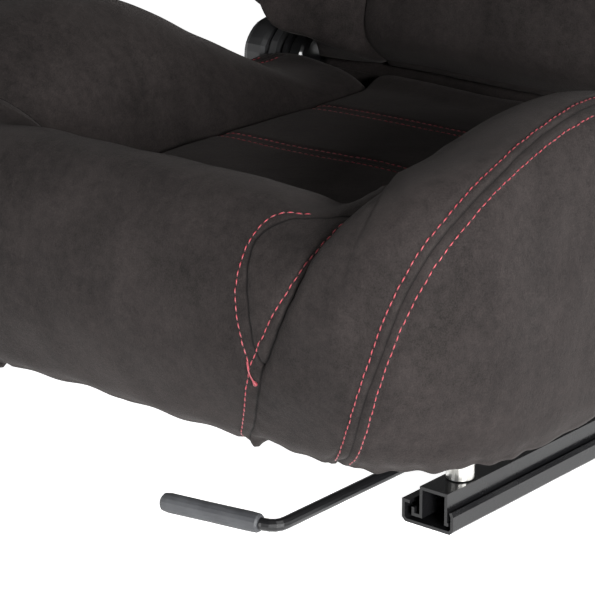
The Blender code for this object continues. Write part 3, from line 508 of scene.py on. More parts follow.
def makeStitches(name, rows, body, look=stitchLook):
    # every row is (points, normals) on the cloth; a stitch every pitch along it
    centres, tangents, normals = [], [], []
    for line, up in rows:
        line, up = spacedBy(line, up, step=look["pitch"] / 8)
        middle = np.arange(4, len(line) - 3, 8)
        rng = np.random.default_rng(len(line))
        along = unit(line[np.minimum(middle + 3, len(line) - 1)] - line[middle - 3])
        up = unit(up[middle])
        side = np.cross(up, along)
        centres.append(line[middle] + side * rng.normal(0, 0.00016, len(middle))[:, None])
        tangents.append(unit(along + side * rng.normal(0.05, 0.035, len(middle))[:, None]))
        normals.append(up)
    centres, tangents, normals = map(np.concatenate, (centres, tangents, normals))
    points, faces, caps, crown = capsules(centres, tangents, normals, look["length"], look["radius"],
                                          look["sides"])
    each = points.shape[1]
    starts = np.arange(len(points)) * each
    quads = (starts[:, None, None] + faces[None]).reshape(-1, 4)
    ends = [tuple(int(start) + k for k in cap) for start in starts for cap in caps]
    # the crown attribute places the thread's painted highlight and shade
    piece = addPiece(name, points.reshape(-1, 3), list(map(tuple, quads)) + ends, thread,
                     outward=True, attributes={"crown": np.tile(crown, len(points))})
    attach(piece, body)
    return piece


def laidOn(tree, points, normals, reach=0.03):
    # drops points onto a cloth along its normals; gives places and the cloth's own normals
    places, ups = [], []
    for point, normal in zip(points, normals):
        spot, up, _, _ = tree.ray_cast(Vector(point + normal * reach), Vector(-normal), reach * 2)
        if spot is None:
            spot, up, _, _ = tree.find_nearest(Vector(point))
        places.append(spot)
        ups.append(up)
    ups = np.array(ups, float)
    soft = ups.copy()
    soft[1:-1] = ups[:-2] + ups[1:-1] + ups[2:]
    return np.array(places, float), unit(soft)


def treeOf(piece):
    shape = bmesh.new()
    shape.from_mesh(piece.data)
    tree = BVHTree.FromBMesh(shape)
    shape.free()
    return tree


# ---- the rim: front roll, corner gussets and thigh bolsters under one sewn cover
rollLow, rollHigh = corners("front_roll_cushion")
bolsterHigh = corners("left_thigh_bolster")[1]
panLow, panHigh = corners("seat_pan_cushion")
rim = {
    # each level up the rim: share of the crest's height, front line, side line, the corner's two radii
    "levels": np.array((
        (0.00, 0.000, 0.000, 0.090, 0.106), (0.10, -0.018, 0.009, 0.088, 0.112),
        (0.36, -0.038, 0.017, 0.084, 0.118), (0.62, -0.040, 0.018, 0.078, 0.112),
        (0.82, -0.028, 0.014, 0.068, 0.100), (0.95, -0.006, 0.003, 0.056, 0.084),
        (1.00, 0.018, -0.019, 0.044, 0.066), (0.93, 0.048, -0.058, 0.032, 0.046),
        (0.62, 0.084, -0.100, 0.020, 0.028), (0.00, 0.126, -0.129, 0.012, 0.014))),
    # how far each level leans inboard at the rear end
    "lean": np.array((0, 0, 0, 0, 0.004, 0.014, 0.026, 0.016, 0.004, 0)),
    # place along the rim, and the crest's rise there above the roll's: 1 and 2 end the corner, 3 the rear
    "rise": np.array((
        (0, 0), (0.53, -0.001), (0.72, -0.003), (0.81, -0.007), (0.87, -0.007), (0.94, 0.002), (1.0, 0.015),
        (1.25, 0.026), (1.5, 0.032), (1.75, 0.0375), (2.0, 0.043), (2.094, 0.050), (2.187, 0.0535),
        (2.281, 0.0545), (2.37, 0.0475), (2.47, 0.0315), (2.59, 0.0045), (2.726, -0.0245),
        (2.834, -0.0490), (2.91, -0.0535), (3.0, -0.0480))),
    "split": 0.70, "rollHalf": 0.132, "step": 0.0027, "rearStretch": 3.4, "rearRound": 0.014,
    "foamBase": 0.1029, "doubleSoften": 16,
    # slow unevenness; small gathers along the leaf's seams; the piping beside the double seam and the dip
    # its rows sew in, each as height, distance from the seam and width; puckers along it
    "undulation": 0.0009, "gather": 0.00035, "gatherWidth": 0.009, "gatherPitch": 0.0170,
    "piping": (0.0007, 0.0036, 0.0030), "rowDip": (0.0006, 0.0078, 0.0022),
    "pucker": 0.00022, "puckerWidth": 0.011, "puckerPitch": 0.0255,
    # the valley beside the leaf's outer seam, and how the hem hangs: waves, the tip seam's tuck, its hollow
    "valley": 0.0019, "valleyWidth": 0.0021, "hemReach": 0.55,
    "hemWaves": ((0.0011, 21, 1), (0.0009, 47, 0)), "hemTuck": (0.0050, 0.676), "hemHollow": (0.0020, 0.735),
    # the tops bulge over the leaf's outer seam; the leaf is hollow above and full below
    "bulge": 0.0062, "leafHollow": (-0.0022, 5.0, 1.2), "leafFull": (0.0016, 3.6, 0.9),
}
rim["front"] = rollLow[1] - rim["levels"][:, 1].min()
rim["side"] = bolsterHigh[0] - rim["levels"][:, 2].max()
rim["rear"], rim["base"] = bolsterHigh[1], rollLow[2]
rim["crest"], rim["pan"] = rollHigh[2], panHigh[2] - 0.003
riseAt = np.linspace(0, 3, 601)
bell = np.hanning(27)[1:-1]
riseSmooth = np.pad(np.interp(riseAt, *rim["rise"].T), 12, mode="edge")
riseSmooth = np.convolve(riseSmooth, bell / bell.sum(), "valid")

# seams as (place along the rim, level), on the +X side; the other side mirrors them
seams = {
    "tip": ((0.653, 0.0), (0.715, 0.73), (0.773, 1.42), (0.808, 1.95), (0.813, 2.25)),
    "leafInner": ((0.813, 2.25), (0.796, 2.60), (0.773, 3.20), (0.754, 3.68), (0.742, 4.15), (0.742, 4.55),
                  (0.756, 4.87), (0.776, 5.23), (0.808, 5.55), (0.870, 5.86), (0.937, 6.02)),
    "leafOuter": ((0.813, 2.25), (0.834, 2.46), (0.857, 2.98), (0.876, 3.70), (0.887, 4.48), (0.907, 5.05),
                  (0.937, 6.02)),
    "inner": ((0.937, 6.02), (1.0, 6.5), (1.15, 7.3), (1.33, 8.2), (1.5, 9.0)),
    "double": ((1.025, 0.0), (1.085, 0.60), (1.13, 1.06), (1.21, 1.77), (1.313, 2.58), (1.387, 3.27),
               (1.45, 3.70), (1.487, 3.95), (1.58, 4.32), (1.763, 4.85), (2.031, 5.27), (2.188, 5.50),
               (2.394, 5.62), (2.656, 5.66), (3.0, 5.68)),
}


def rimPoint(t, v):
    # rounded rectangles in plan stacked up the levels, with a Catmull-Rom curve from level to level
    r = rim
    side = np.sign(t) + (t == 0)
    spot = np.abs(t)[:, None]
    share, front, edge, a, b = (r["levels"][None, :, k] for k in range(5))
    front = front + r["front"]
    edge = edge + r["side"] - r["lean"] * np.clip((spot - 2.4) / 0.6, 0, 1)
    turn = np.clip(spot - 1, 0, 1) * math.pi / 2
    rollX = r["rollHalf"] * spot / r["split"]
    joinX = r["rollHalf"] + (edge - a - r["rollHalf"]) * (spot - r["split"]) / (1 - r["split"])
    x = np.where(spot < r["split"], rollX, np.where(spot < 1, joinX, edge - a + a * np.sin(turn)))
    y = front + b - b * np.cos(turn) + np.clip(spot - 2, 0, 1) * (r["rear"] - front - b)
    crest = r["crest"] + np.interp(spot[:, 0], riseAt, riseSmooth)[:, None]
    outside = r["base"] + (crest - r["base"]) * share
    inside = r["pan"] + (crest - r["pan"]) * share
    z = np.where(np.arange(10)[None] <= 6, outside, inside)
    p = np.stack([x, y, z + 0 * x], -1)
    p = np.concatenate([2 * p[:, :1] - p[:, 1:2], p, 2 * p[:, -1:] - p[:, -2:-1]], 1)
    v = np.clip(v, 0, 9)
    first = np.minimum(v.astype(int), 8)
    f = (v - first)[:, None]
    n = np.arange(len(v))
    a0, a1, a2, a3 = (p[n, first + k] for k in range(4))
    point = 0.5 * (2 * a1 + (a2 - a0) * f + (2 * a0 - 5 * a1 + 4 * a2 - a3) * f ** 2
                   + (3 * a1 - a0 - 3 * a2 + a3) * f ** 3)
    point[:, 0] *= side
    return point


def rimNormal(t, v):
    # the cross product of the two slopes, taken by small steps either way
    t1, t0 = np.clip(t + 0.006, -3, 3), np.clip(t - 0.006, -3, 3)
    v1, v0 = np.clip(v + 0.03, 0, 9), np.clip(v - 0.03, 0, 9)
    return unit(np.cross(rimPoint(t1, v) - rimPoint(t0, v), rimPoint(t, v1) - rimPoint(t, v0)))


def onRim(points, step=0.0015, soften=0):
    # a line of (place, level) points made smooth, with its places on the bare rim evenly spaced;
    # behind the corner one place is several times as long, so the curve is drawn with those stretched
    stretch = rim["rearStretch"]
    tv = np.array(points, float)
    tv[:, 0] += np.maximum(tv[:, 0] - 2, 0) * (stretch - 1)
    tv = throughPoints(tv, 14)
    tv[:, 0] -= np.maximum(tv[:, 0] - 2, 0) * (1 - 1 / stretch)
    line, tv = spacedBy(rimPoint(tv[:, 0], tv[:, 1]), tv, step=step)
    if soften:
        tv[:, 0] += np.maximum(tv[:, 0] - 2, 0) * (stretch - 1)
        bell = np.hanning(2 * soften + 3)[1:-1]
        padded = np.concatenate([2 * tv[0] - tv[soften:0:-1], tv, 2 * tv[-1] - tv[-2:-soften - 2:-1]])
        tv = np.stack([np.convolve(column, bell / bell.sum(), "valid") for column in padded.T], -1)
        tv[:, 0] -= np.maximum(tv[:, 0] - 2, 0) * (1 - 1 / stretch)
        line = rimPoint(tv[:, 0], tv[:, 1])
    return tv, line


seamLines = {key: onRim(points, soften=rim["doubleSoften"] * (key == "double"))[1]
             for key, points in seams.items()}
panPlaces = np.linspace(0, 3, 500)
seamLines["pan"] = rimPoint(panPlaces, np.full(500, 9.0))
valley = ((0.911, 5.80), (0.896, 5.45), (0.873, 4.40), (0.859, 3.72), (0.838, 3.15), (0.816, 2.70))
valleyLine = onRim(valley)[1]
# how deep each seam pulls the cover in, and how far from it the cover is back to its height
seamPull = {"tip": (0.0022, 0.0042), "leafInner": (0.0014, 0.0034), "leafOuter": (0.0046, 0.0052),
            "inner": (0.0045, 0.0100), "double": (0.0009, 0.0026), "pan": (0.0030, 0.0090)}


def swell(distance, width):
    # 1 at a line, fading away from it as the exponential of minus the distance in widths, squared
    return np.exp(-(distance / width) ** 2)


def coverRim(t, v, bulge=0.0):
    # the rim's surface moved along its normal: in at each seam, out where a panel bulges, gently uneven; it also
    # gives a painted shade mask along the seams and the valley
    bare = rimPoint(t, v)
    right = bare * np.where(bare[:, :1] < 0, [-1, 1, 1], [1, 1, 1])
    rise = rim["undulation"] * (ripples(bare, 0.13, 3) + 0.45 * ripples(bare, 0.055, 4)) + bulge
    shade = np.zeros(len(t))
    for key, (depth, width) in seamPull.items():
        gap, along = lineDistance(right, seamLines[key])
        rise -= depth * np.exp(-gap / width)
        if key in ("leafInner", "leafOuter", "tip"):
            wave = np.sin(along * 2 * math.pi / rim["gatherPitch"] + 1)
            rise += rim["gather"] * swell(gap, rim["gatherWidth"]) * wave
        if key == "double":
            height, away, width = rim["piping"]
            rise += height * swell(gap - away, width)
            height, away, width = rim["rowDip"]
            rise -= height * swell(gap - away, width)
            wave = np.sin(along * 2 * math.pi / rim["puckerPitch"])
            rise += rim["pucker"] * swell(gap, rim["puckerWidth"]) * wave
        # painted shade: every seam but the pan's darkens the cloth's colour in a thin line, less at the double
        # seam
        if key != "pan":
            dark = swell(gap, 0.0013 if key == "leafOuter" else 0.0008)
            shade = np.maximum(shade, dark * (0.6 if key == "double" else 0.95))
    gap, along = lineDistance(right, valleyLine)
    rise -= rim["valley"] * swell(gap, rim["valleyWidth"]) * np.clip(along / 0.020, 0, 1)
    # painted shade along the valley, fading towards its far end
    shade = np.maximum(shade, 0.75 * swell(gap, 0.0015) * np.clip(1.25 - along / 0.060, 0, 1))
    # the rear ends are rounded over as a quarter circle
    ends = np.clip(1 - (rim["rear"] - bare[:, 1]) / rim["rearRound"], 0, 1)
    rise -= rim["rearRound"] * (1 - np.sqrt(np.clip(1 - ends ** 2, 0, 1)))
    # the hem hangs unevenly, with a finer wave from place 0.6 on
    spot = np.abs(t)
    (long, slow, start), (short, fast, _) = rim["hemWaves"]
    sag = long * np.sin(spot * slow + start) + short * np.sin(spot * fast) * (spot > 0.6)
    for (height, where), way in ((rim["hemTuck"], 1), (rim["hemHollow"], -1)):
        sag += way * height * swell(spot - where, 0.022)
    point = bare + rimNormal(t, v) * rise[:, None]
    point[:, 2] -= sag * swell(v, rim["hemReach"])
    return point, shade


def makeRim():
    # panels meet along shared seam points: roll between the leaves, leaves, tops and outer sides
    def onSeam(key, v):
        tv = throughPoints(seams[key], 14)
        return np.interp(v, tv[:, 1], tv[:, 0])

    levels = {}
    for key in ("tip", "leafInner", "inner"):
        length = np.linalg.norm(np.diff(seamLines[key], axis=0), axis=1).sum()
        column = throughPoints(seams[key], 14)[:, 1]
        count = int(length / rim["step"]) + 2
        levels[key] = np.interp(np.linspace(0, 1, count), np.linspace(0, 1, len(column)), column)
    below, leafV, above = levels["tip"][:-1], levels["leafInner"], levels["inner"][1:]
    levels = np.concatenate([below, leafV, above])
    leafT, leafOut = onSeam("leafInner", leafV), onSeam("leafOuter", leafV)
    near = np.concatenate([onSeam("tip", below), leafT, onSeam("inner", above)])
    far = np.concatenate([onSeam("tip", below), leafOut, onSeam("inner", above)])
    points, shades, faces = [], [], []
    total = 0

    def addGrid(grid, shade, flip):
        nonlocal total
        points.append(grid.reshape(-1, 3))
        shades.append(shade)
        faces.append(gridFaces(*grid.shape[:2], start=total, flip=flip))
        total += grid.shape[0] * grid.shape[1]

    def addPanel(t, v, bulge=0.0, flip=False):
        where, shade = coverRim(t.ravel(), v.ravel(), np.ravel(bulge))
        addGrid(where.reshape(t.shape + (3,)), shade, flip)

    # the roll, from one leaf to the other
    share = crowded(112) * 2 - 1
    addPanel(near[:, None] * share[None], np.repeat(levels[:, None], len(share), 1))

    # a top runs from the leaf's outer seam and the pan to the double seam, an outer side from there down
    edge = np.linspace(1.5, 3.0, int((rim["rear"] - rim["front"]) / rim["step"] * 0.8))
    leftT = np.concatenate([far, edge[1:]])
    leftV = np.concatenate([levels, np.full(len(edge) - 1, 9.0)])
    tv, line = onRim(seams["double"], soften=rim["doubleSoften"])
    rightT, rightV = spacedBy(line, tv, count=len(leftT))[1].T
    spread = crowded(58)[None]
    topT = leftT[:, None] * (1 - spread) + rightT[:, None] * spread
    topV = leftV[:, None] * (1 - spread) + rightV[:, None] * spread
    outer = (1 - (1 - np.linspace(0, 1, 60)) ** 1.35)[None]
    foot = np.interp(np.linspace(0, 1, len(rightT)), (0, 0.3, 1), (rightT[0], 1.62, 3.0))
    outT = foot[:, None] * (1 - outer) + rightT[:, None] * outer
    outV = rightV[:, None] * outer
    width = crowded(26)[None]
    gussetT = leafT[:, None] * (1 - width) + leafOut[:, None] * width
    gussetV = np.repeat(leafV[:, None], 26, 1)
    bare = rimPoint(topT.ravel(), topV.ravel())
    gap, gapInner = (lineDistance(bare, seamLines[key])[0] for key in ("leafOuter", "inner"))
    over = rim["bulge"] * (1 - np.exp(-gap / 0.0050)) * swell(gap, 0.034) * swell(topV.ravel() - 4.9, 1.5)
    over *= np.minimum(1, gapInner / 0.010)
    hollow = sum(height * np.sin(math.pi * width) * swell(gussetV - at, reach)
                 for height, at, reach in (rim["leafHollow"], rim["leafFull"]))
    for side in (1, -1):
        addPanel(side * topT, topV, over, flip=side < 0)
        addPanel(side * outT, outV, flip=side > 0)
        addPanel(side * gussetT, gussetV, hollow, flip=side < 0)
    bottoms = np.concatenate([-foot[::-1], -topT[0][::-1], near[0] * share, topT[0], foot])
    bottoms = bottoms[np.concatenate([[True], np.diff(bottoms) > 1e-9])]
    tops = np.concatenate([-edge[::-1], near[-1] * share, edge])
    tops = tops[np.concatenate([[True], np.diff(tops) > 1e-9])]

    # under the foam: a hem turned in above the frame, the wall beside the pan, and a flat base between
    low, _ = coverRim(bottoms, np.zeros(len(bottoms)))
    inward = unit(np.cross(np.gradient(low, axis=0), [0, 0, 1]))
    inward = np.where((inward * (low - [0, 0.05, 0])).sum(1, keepdims=True) > 0, -inward, inward)
    inward = inward * [1, 1, 0]
    hem = [low, low + inward * 0.004 - [0, 0, 0.0010], low + inward * 0.009 + [0, 0, 0.0015],
           low + inward * 0.012 + [0, 0, 0.012]]
    last = low + inward * 0.013
    last[:, 2] = rim["foamBase"]
    last[:, 1] = np.minimum(last[:, 1], rim["rear"])
    hem = np.stack(hem + [last])
    hem[:, 0, 1] = hem[:, -1, 1] = rim["rear"]
    high, _ = coverRim(tops, np.full(len(tops), 9.0))
    wall = high.copy()
    wall[:, 2] = rim["foamBase"]
    for grid, flip in ((hem, True), (np.stack([high, wall]), False)):
        addGrid(grid, np.zeros(grid.shape[0] * grid.shape[1]), flip)
    hemLast = total - 2 * len(tops) - len(bottoms)
    wallLast = total - len(tops)
    base = list(range(hemLast, hemLast + len(bottoms))) + list(range(wallLast, wallLast + len(tops)))[::-1]
    allPoints = np.concatenate(points)
    # the seam attribute carries the painted shade along the rim's seams
    piece = addPiece("rim_cover", allPoints, [tuple(f) for part in faces for f in part] + [tuple(base)],
                     finishes["suede"], merge=2e-6, attributes={"seam": np.concatenate(shades)})
    # close each rear end and turn every face outwards
    shape = bmesh.new()
    shape.from_mesh(piece.data)
    bmesh.ops.holes_fill(shape, edges=[e for e in shape.edges if e.is_boundary], sides=0)
    bmesh.ops.triangulate(shape, faces=[f for f in shape.faces if len(f.verts) > 4])
    bmesh.ops.recalc_face_normals(shape, faces=shape.faces)
    print("rim cover", len(shape.faces), "faces, open edges",
          sum(e.is_boundary for e in shape.edges), "odd edges", sum(not e.is_manifold for e in shape.edges))
    shape.to_mesh(piece.data)
    shape.free()
    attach(piece, "seat")
    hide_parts("front_roll_cushion", "left_thigh_bolster", "right_thigh_bolster")
    return piece


rimCover = makeRim()
rimTree = treeOf(rimCover)

# stitch rows beside the seams, again on the +X side
rimRows = (
    ((1.02, 0.35), (1.06, 0.97), (1.147, 1.63), (1.213, 2.18), (1.257, 2.57), (1.343, 3.37), (1.423, 3.98),
     (1.54, 4.50), (1.66, 4.95), (1.907, 5.40), (2.087, 5.60), (2.281, 5.82), (2.562, 5.95), (2.94, 5.97)),
    ((1.10, 0.25), (1.15, 0.88), (1.253, 1.70), (1.303, 2.18), (1.363, 2.67), (1.44, 3.20), (1.527, 3.73),
     (1.64, 4.17), (1.873, 4.77), (2.134, 5.12), (2.281, 5.24), (2.562, 5.34), (2.94, 5.37)),
    ((0.817, 5.78), (0.779, 5.56), (0.753, 5.30), (0.734, 4.80), (0.729, 4.40), (0.729, 4.07), (0.734, 3.47),
     (0.749, 2.92), (0.771, 2.50), (0.781, 2.22), (0.777, 2.00), (0.753, 1.62), (0.721, 1.20), (0.670, 0.62),
     (0.642, 0.10)),
    valley + ((0.793, 2.36), (0.781, 2.14)),
)
tailLook = {
    # places and levels the tail passes, and how far it stands off the cloth there
    "path": ((0.778, 2.28), (0.781, 2.16), (0.788, 2.06), (0.795, 1.98), (0.799, 1.92)),
    "standOff": (0.0, 0.0010, 0.0013, 0.0012, 0.0010), "girth": 0.00055, "knot": 0.00105, "crown": 0.55,
}


def makeRimStitches():
    rows = []
    for side in (1, -1):
        for k, points in enumerate(rimRows):
            tv, _ = onRim(points, 0.003, soften=8 if k < 2 else 2)
            t, v = side * tv[:, 0], tv[:, 1]
            rows.append(laidOn(rimTree, rimPoint(t, v), rimNormal(t, v)))
    makeStitches("rim_stitching", rows, "seat")
    # a knotted tail hangs at the foot of each leaf
    look = tailLook
    for side, name in ((1, "left_thread_tail"), (-1, "right_thread_tail")):
        t, v = np.array(look["path"]).T * [[side], [1]]
        line, up = laidOn(rimTree, rimPoint(t, v), rimNormal(t, v))
        path = throughPoints(line + up * np.array(look["standOff"])[:, None], 8)
        share = np.linspace(0, 1, len(path))
        girth = look["girth"] + look["knot"] * swell(share - 0.86, 0.13) + 0.0003 * swell(share, 0.1)
        girth[-1] = 0.0003
        # the tail gets a fixed share of the thread's painted highlight
        tail = addRod(name, path, girth, thread, 10, {"crown": look["crown"]})
        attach(tail, "seat")


def sweep(path, radius, sides):
    # rings square to the path, each turned as little as possible from the last
    path = np.asarray(path, float)
    ahead = unit(np.gradient(path, axis=0))
    side = np.zeros_like(path)
    first = np.cross(ahead[0], [0, 0, 1.0])
    side[0] = unit(first if np.linalg.norm(first) > 0.2 else np.cross(ahead[0], [0, 1.0, 0]))
    for k in range(1, len(path)):
        side[k] = unit(side[k - 1] - ahead[k] * (side[k - 1] @ ahead[k]))
    up = np.cross(side, ahead)
    turn = np.arange(sides) * 2 * math.pi / sides
    radius = np.broadcast_to(np.asarray(radius, float), len(path))[:, None, None]
    ring = np.cos(turn)[None, :, None] * side[:, None] + np.sin(turn)[None, :, None] * up[:, None]
    return path[:, None] + ring * radius


def addRod(name, path, radius, material, sides=24, extra=None):
    # a round bar or thread along a path, with flat ends
    rings = sweep(path, radius, sides)
    count = len(rings)
    faces = list(map(tuple, gridFaces(count, sides, wrapColumns=True)))
    faces += [tuple(range(sides)), tuple((count - 1) * sides + k for k in range(sides))]
    attributes = {key: np.full(count * sides, value) for key, value in (extra or {}).items()}
    return addPiece(name, rings.reshape(-1, 3), faces, material, outward=True, attributes=attributes)


makeRimStitches()
print("rim cover sewn")


# ---- seat pan
panLook = {
    "grid": 190, "beyond": 1.05, "crown": 0.0030, "edge": 0.013, "edgeWidth": 0.006,
    "rearRoll": 0.0085, "rearRollAt": 0.024, "rearRollWidth": 0.015,
    # pairs of rows this far behind the rails' front ends, the gap in a pair, the channel, the rows' own dip
    "pairs": (0.2360, 0.3560), "rowGap": 0.0140, "channel": 0.0016, "channelWidth": 0.0065,
    "rowDip": 0.0012, "rowWidth": 0.0020,
}


def makePan(look):
    # a flat-topped box whose height falls at its edges; sewn channels cross it under each pair of rows
    low, high = panLow + 0.0004, panHigh
    size = look["grid"]
    u, w = np.meshgrid(np.linspace(-1, 1, size), np.linspace(-1, 1, size), indexing="ij")
    half, middle = (high - low) / 2, (high + low) / 2
    x = middle[0] + half[0] * np.clip(u * look["beyond"], -1, 1)
    y = middle[1] + half[1] * np.clip(w * look["beyond"], -1, 1)
    fall = np.minimum(half[0] - np.abs(x - middle[0]), half[1] - np.abs(y - middle[1]))
    z = high[2] - 0.003 + look["crown"] * (1 - u ** 2) * (1 - w ** 2)
    z = z - look["edge"] * np.exp(-np.clip(fall, 0, 1) / look["edgeWidth"])
    start = rim["front"] + 0.046
    shade, drop = np.zeros(z.shape), np.zeros(z.shape)
    for behind in look["pairs"]:
        gap = np.abs(y - (start + behind))
        drop += look["channel"] * np.exp(-(gap / look["channelWidth"]) ** 1.6)
        drop += look["rowDip"] * swell(gap - look["rowGap"] / 2, look["rowWidth"])
        # painted shade down the middle of each sewn channel
        shade = np.maximum(shade, swell(gap, 0.0012) * 0.7)
    z = z - drop + look["rearRoll"] * swell(y - high[1] + look["rearRollAt"], look["rearRollWidth"])
    top = np.stack([x, y, z], -1).reshape(-1, 3)
    top[:, 2] += 0.0008 * ripples(top, 0.11, 8) + 0.0002 * ripples(top, 0.05, 9)
    # the grid's outermost part goes straight down to the base
    depth = np.maximum(np.abs(u), np.abs(w)).ravel() * look["beyond"] - 1
    top[:, 2] += (low[2] - top[:, 2]) * np.clip(depth / 0.05, 0, 1)
    bottom = top.copy()
    bottom[:, 2] = low[2]
    faces = np.concatenate([gridFaces(size, size), gridFaces(size, size, start=len(top), flip=True)])
    # the seam attribute carries the painted channel shade on the top
    seam = np.concatenate([shade.ravel(), np.zeros(len(top))])
    piece = addPiece("pan_cushion", np.concatenate([top, bottom]), faces, finishes["suede"], merge=1e-5,
                     outward=True, attributes={"seam": seam})
    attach(piece, "seat")
    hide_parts("seat_pan_cushion")
    tree = treeOf(piece)
    rows = []
    for behind in look["pairs"]:
        for offset in (-look["rowGap"] / 2, look["rowGap"] / 2):
            across = np.linspace(low[0] + 0.004, high[0] - 0.004, 140)
            line = np.stack([across, np.full(140, start + behind + offset), np.full(140, high[2])], -1)
            rows.append(laidOn(tree, line, np.tile([0, 0, 1.0], (140, 1))))
    makeStitches("pan_stitching", rows, "seat")


def addStrip(name, half, ring, toSpace, body):
    # a flat band of cloth: one rounded outline repeated from side to side
    x = np.linspace(-half, half, 80)
    count, size = len(x), len(ring)
    across = np.repeat(x, size)
    points = toSpace(across, *np.tile(np.array(ring).T, count))
    faces = list(map(tuple, gridFaces(count, size, wrapColumns=True)))
    faces += [tuple(range(size)), tuple(range((count - 1) * size, count * size))]
    piece = addPiece(name, points, faces, finishes["suede"], outward=True,
                     attributes={"seam": np.zeros(count * size)})
    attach(piece, body)


# outline as (behind the cushions, height), and how far it reaches past the pan's sides
hemLook = {"ring": ((0.0001, 0.104), (0.0001, 0.165), (0.0006, 0.1662), (0.0019, 0.1662), (0.0024, 0.165),
                    (0.0024, 0.104), (0.0019, 0.1030), (0.0006, 0.1030)), "past": 0.076}


def makeHem(look):
    # the cover's rear hem hangs behind the cushions
    addStrip("rear_hem", panHigh[0] + look["past"], look["ring"],
             lambda x, y, z: np.stack([x, panHigh[1] + y, z], -1), "seat")


makePan(panLook)
makeHem(hemLook)
print("pan sewn")


# ---- backrest, in its own tilted frame: x sideways, d back from the recliner axis, h up along the back
hinge = np.array([j for j in frame["joints"] if j["name"] == "recline"][0]["pos_m"])
back = {"rake": math.radians(14.0), "panelHalf": 0.161, "shoulder": 0.530, "neck": 0.647, "top": 0.745,
        "half": 0.302, "padFront": -0.066, "rear": 0.0182, "foamBack": -0.0080, "wingInner": 0.2570,
        "unevenness": ((0.0009, 0.10), (0.0004, 0.045))}


def fromBack(x, d, h):
    s, c = math.sin(back["rake"]), math.cos(back["rake"])
    x, d, h = np.broadcast_arrays(x, d, h)
    return np.stack([x, hinge[1] + h * s + d * c, hinge[2] + h * c - d * s], -1)


def backNormal(count):
    # straight out of the back's front face
    return np.tile([0, -math.cos(back["rake"]), math.sin(back["rake"])], (count, 1))


def rounded(rings, across, along, endRound, crown):
    # a padded body from rings of (x, d, h): smooth round and along, its two ends drawn in and crowned
    body = throughPoints(rings, along)
    body = np.swapaxes(throughPoints(np.swapaxes(body, 0, 1), across, closed=True), 0, 1)
    caps = []
    for end, way in ((body[0], -1), (body[-1], 1)):
        middle = (end.max(0) + end.min(0)) / 2
        half = np.maximum((end.max(0) - end.min(0)) / 2, 1e-6)
        made = []
        for turn in np.linspace(0, math.pi / 2, 7)[1:]:
            scale = 1 - endRound * (1 - math.cos(turn)) / half
            scale[2] = 1
            ring = middle + (end - middle) * scale
            ring[:, 2] = end[:, 2] + way * (endRound * math.sin(turn) - endRound)
            made.append(ring)
        for share in np.linspace(0, 1, 12)[1:-1]:
            ring = made[5] + (middle - made[5]) * share * [1, 1, 0]
            made.append(ring + [0, 0, way * crown * (1 - (1 - share) ** 2)])
        caps.append(made)
    # the body gives its last stretch at each end to the rounding
    low, high = body[0, :, 2].copy(), body[-1, :, 2].copy()
    share = np.clip((body[:, :, 2] - low) / np.maximum(high - low, 1e-6), 0, 1)
    body[:, :, 2] = low + endRound + share * (high - low - 2 * endRound)
    return np.stack(caps[0][::-1] + list(body) + caps[1])


def addPad(name, rings, node, seamsHere=()):
    # a closed pad from its rings, pulled in along its seams, with painted shade along them
    count, size = rings.shape[:2]
    faces = list(map(tuple, gridFaces(count, size, wrapColumns=True)))
    faces += [tuple(range(size)), tuple((count - 1) * size + k for k in range(size))]
    piece = addPiece(name, fromBack(*rings.reshape(-1, 3).T), faces, finishes["suede"], merge=1e-6,
                     outward=True)
    points, normals = pointsOf(piece), normalsOf(piece)
    rise = np.zeros(len(points))
    for k, (height, wave) in enumerate(back["unevenness"]):
        rise += height * ripples(points, wave, len(name) + k)
    shade = np.zeros(len(points))
    for line, pull, width in seamsHere:
        gap, _ = lineDistance(points, line)
        rise -= pull * np.exp(-gap / width)
        # painted shade along each seam
        shade = np.maximum(shade, swell(gap, 0.0014))
    movePoints(piece, points + normals * rise[:, None])
    dress(piece, shade)
    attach(piece, "backrest")
    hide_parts(node)
    return piece


def dress(piece, shade):
    # suede on every face, with the painted seam shade at each point
    layer = piece.data.attributes.new("seam", "FLOAT", "POINT")
    layer.data.foreach_set("value", np.asarray(shade, np.float32))
    piece.data.materials.clear()
    piece.data.materials.append(finishes["suede"])


wingLook = {
    "foot": 0.038, "depth": 0.150, "frontLift": 0.30, "innerDrop": 0.028, "liftTo": 0.30,
    "shares": (0, 0.06, 0.12, 0.2, 0.3, 0.4, 0.5, 0.6, 0.7, 0.78, 0.84, 0.9, 0.95, 1.0),
    # at shares of the height: how far the outer face stands past the back's half width, and the depth's share
    "out": ((0, -0.020), (0.2, -0.006), (0.5, 0), (0.78, -0.004), (0.9, -0.022), (1.0, -0.048)),
    "deep": ((0, 0.84), (0.12, 0.97), (0.4, 1.0), (0.65, 0.90), (0.8, 0.72), (0.92, 0.52), (1.0, 0.44)),
    "seam": (0.0020, 0.0040), "rowOffset": 0.0075,
}


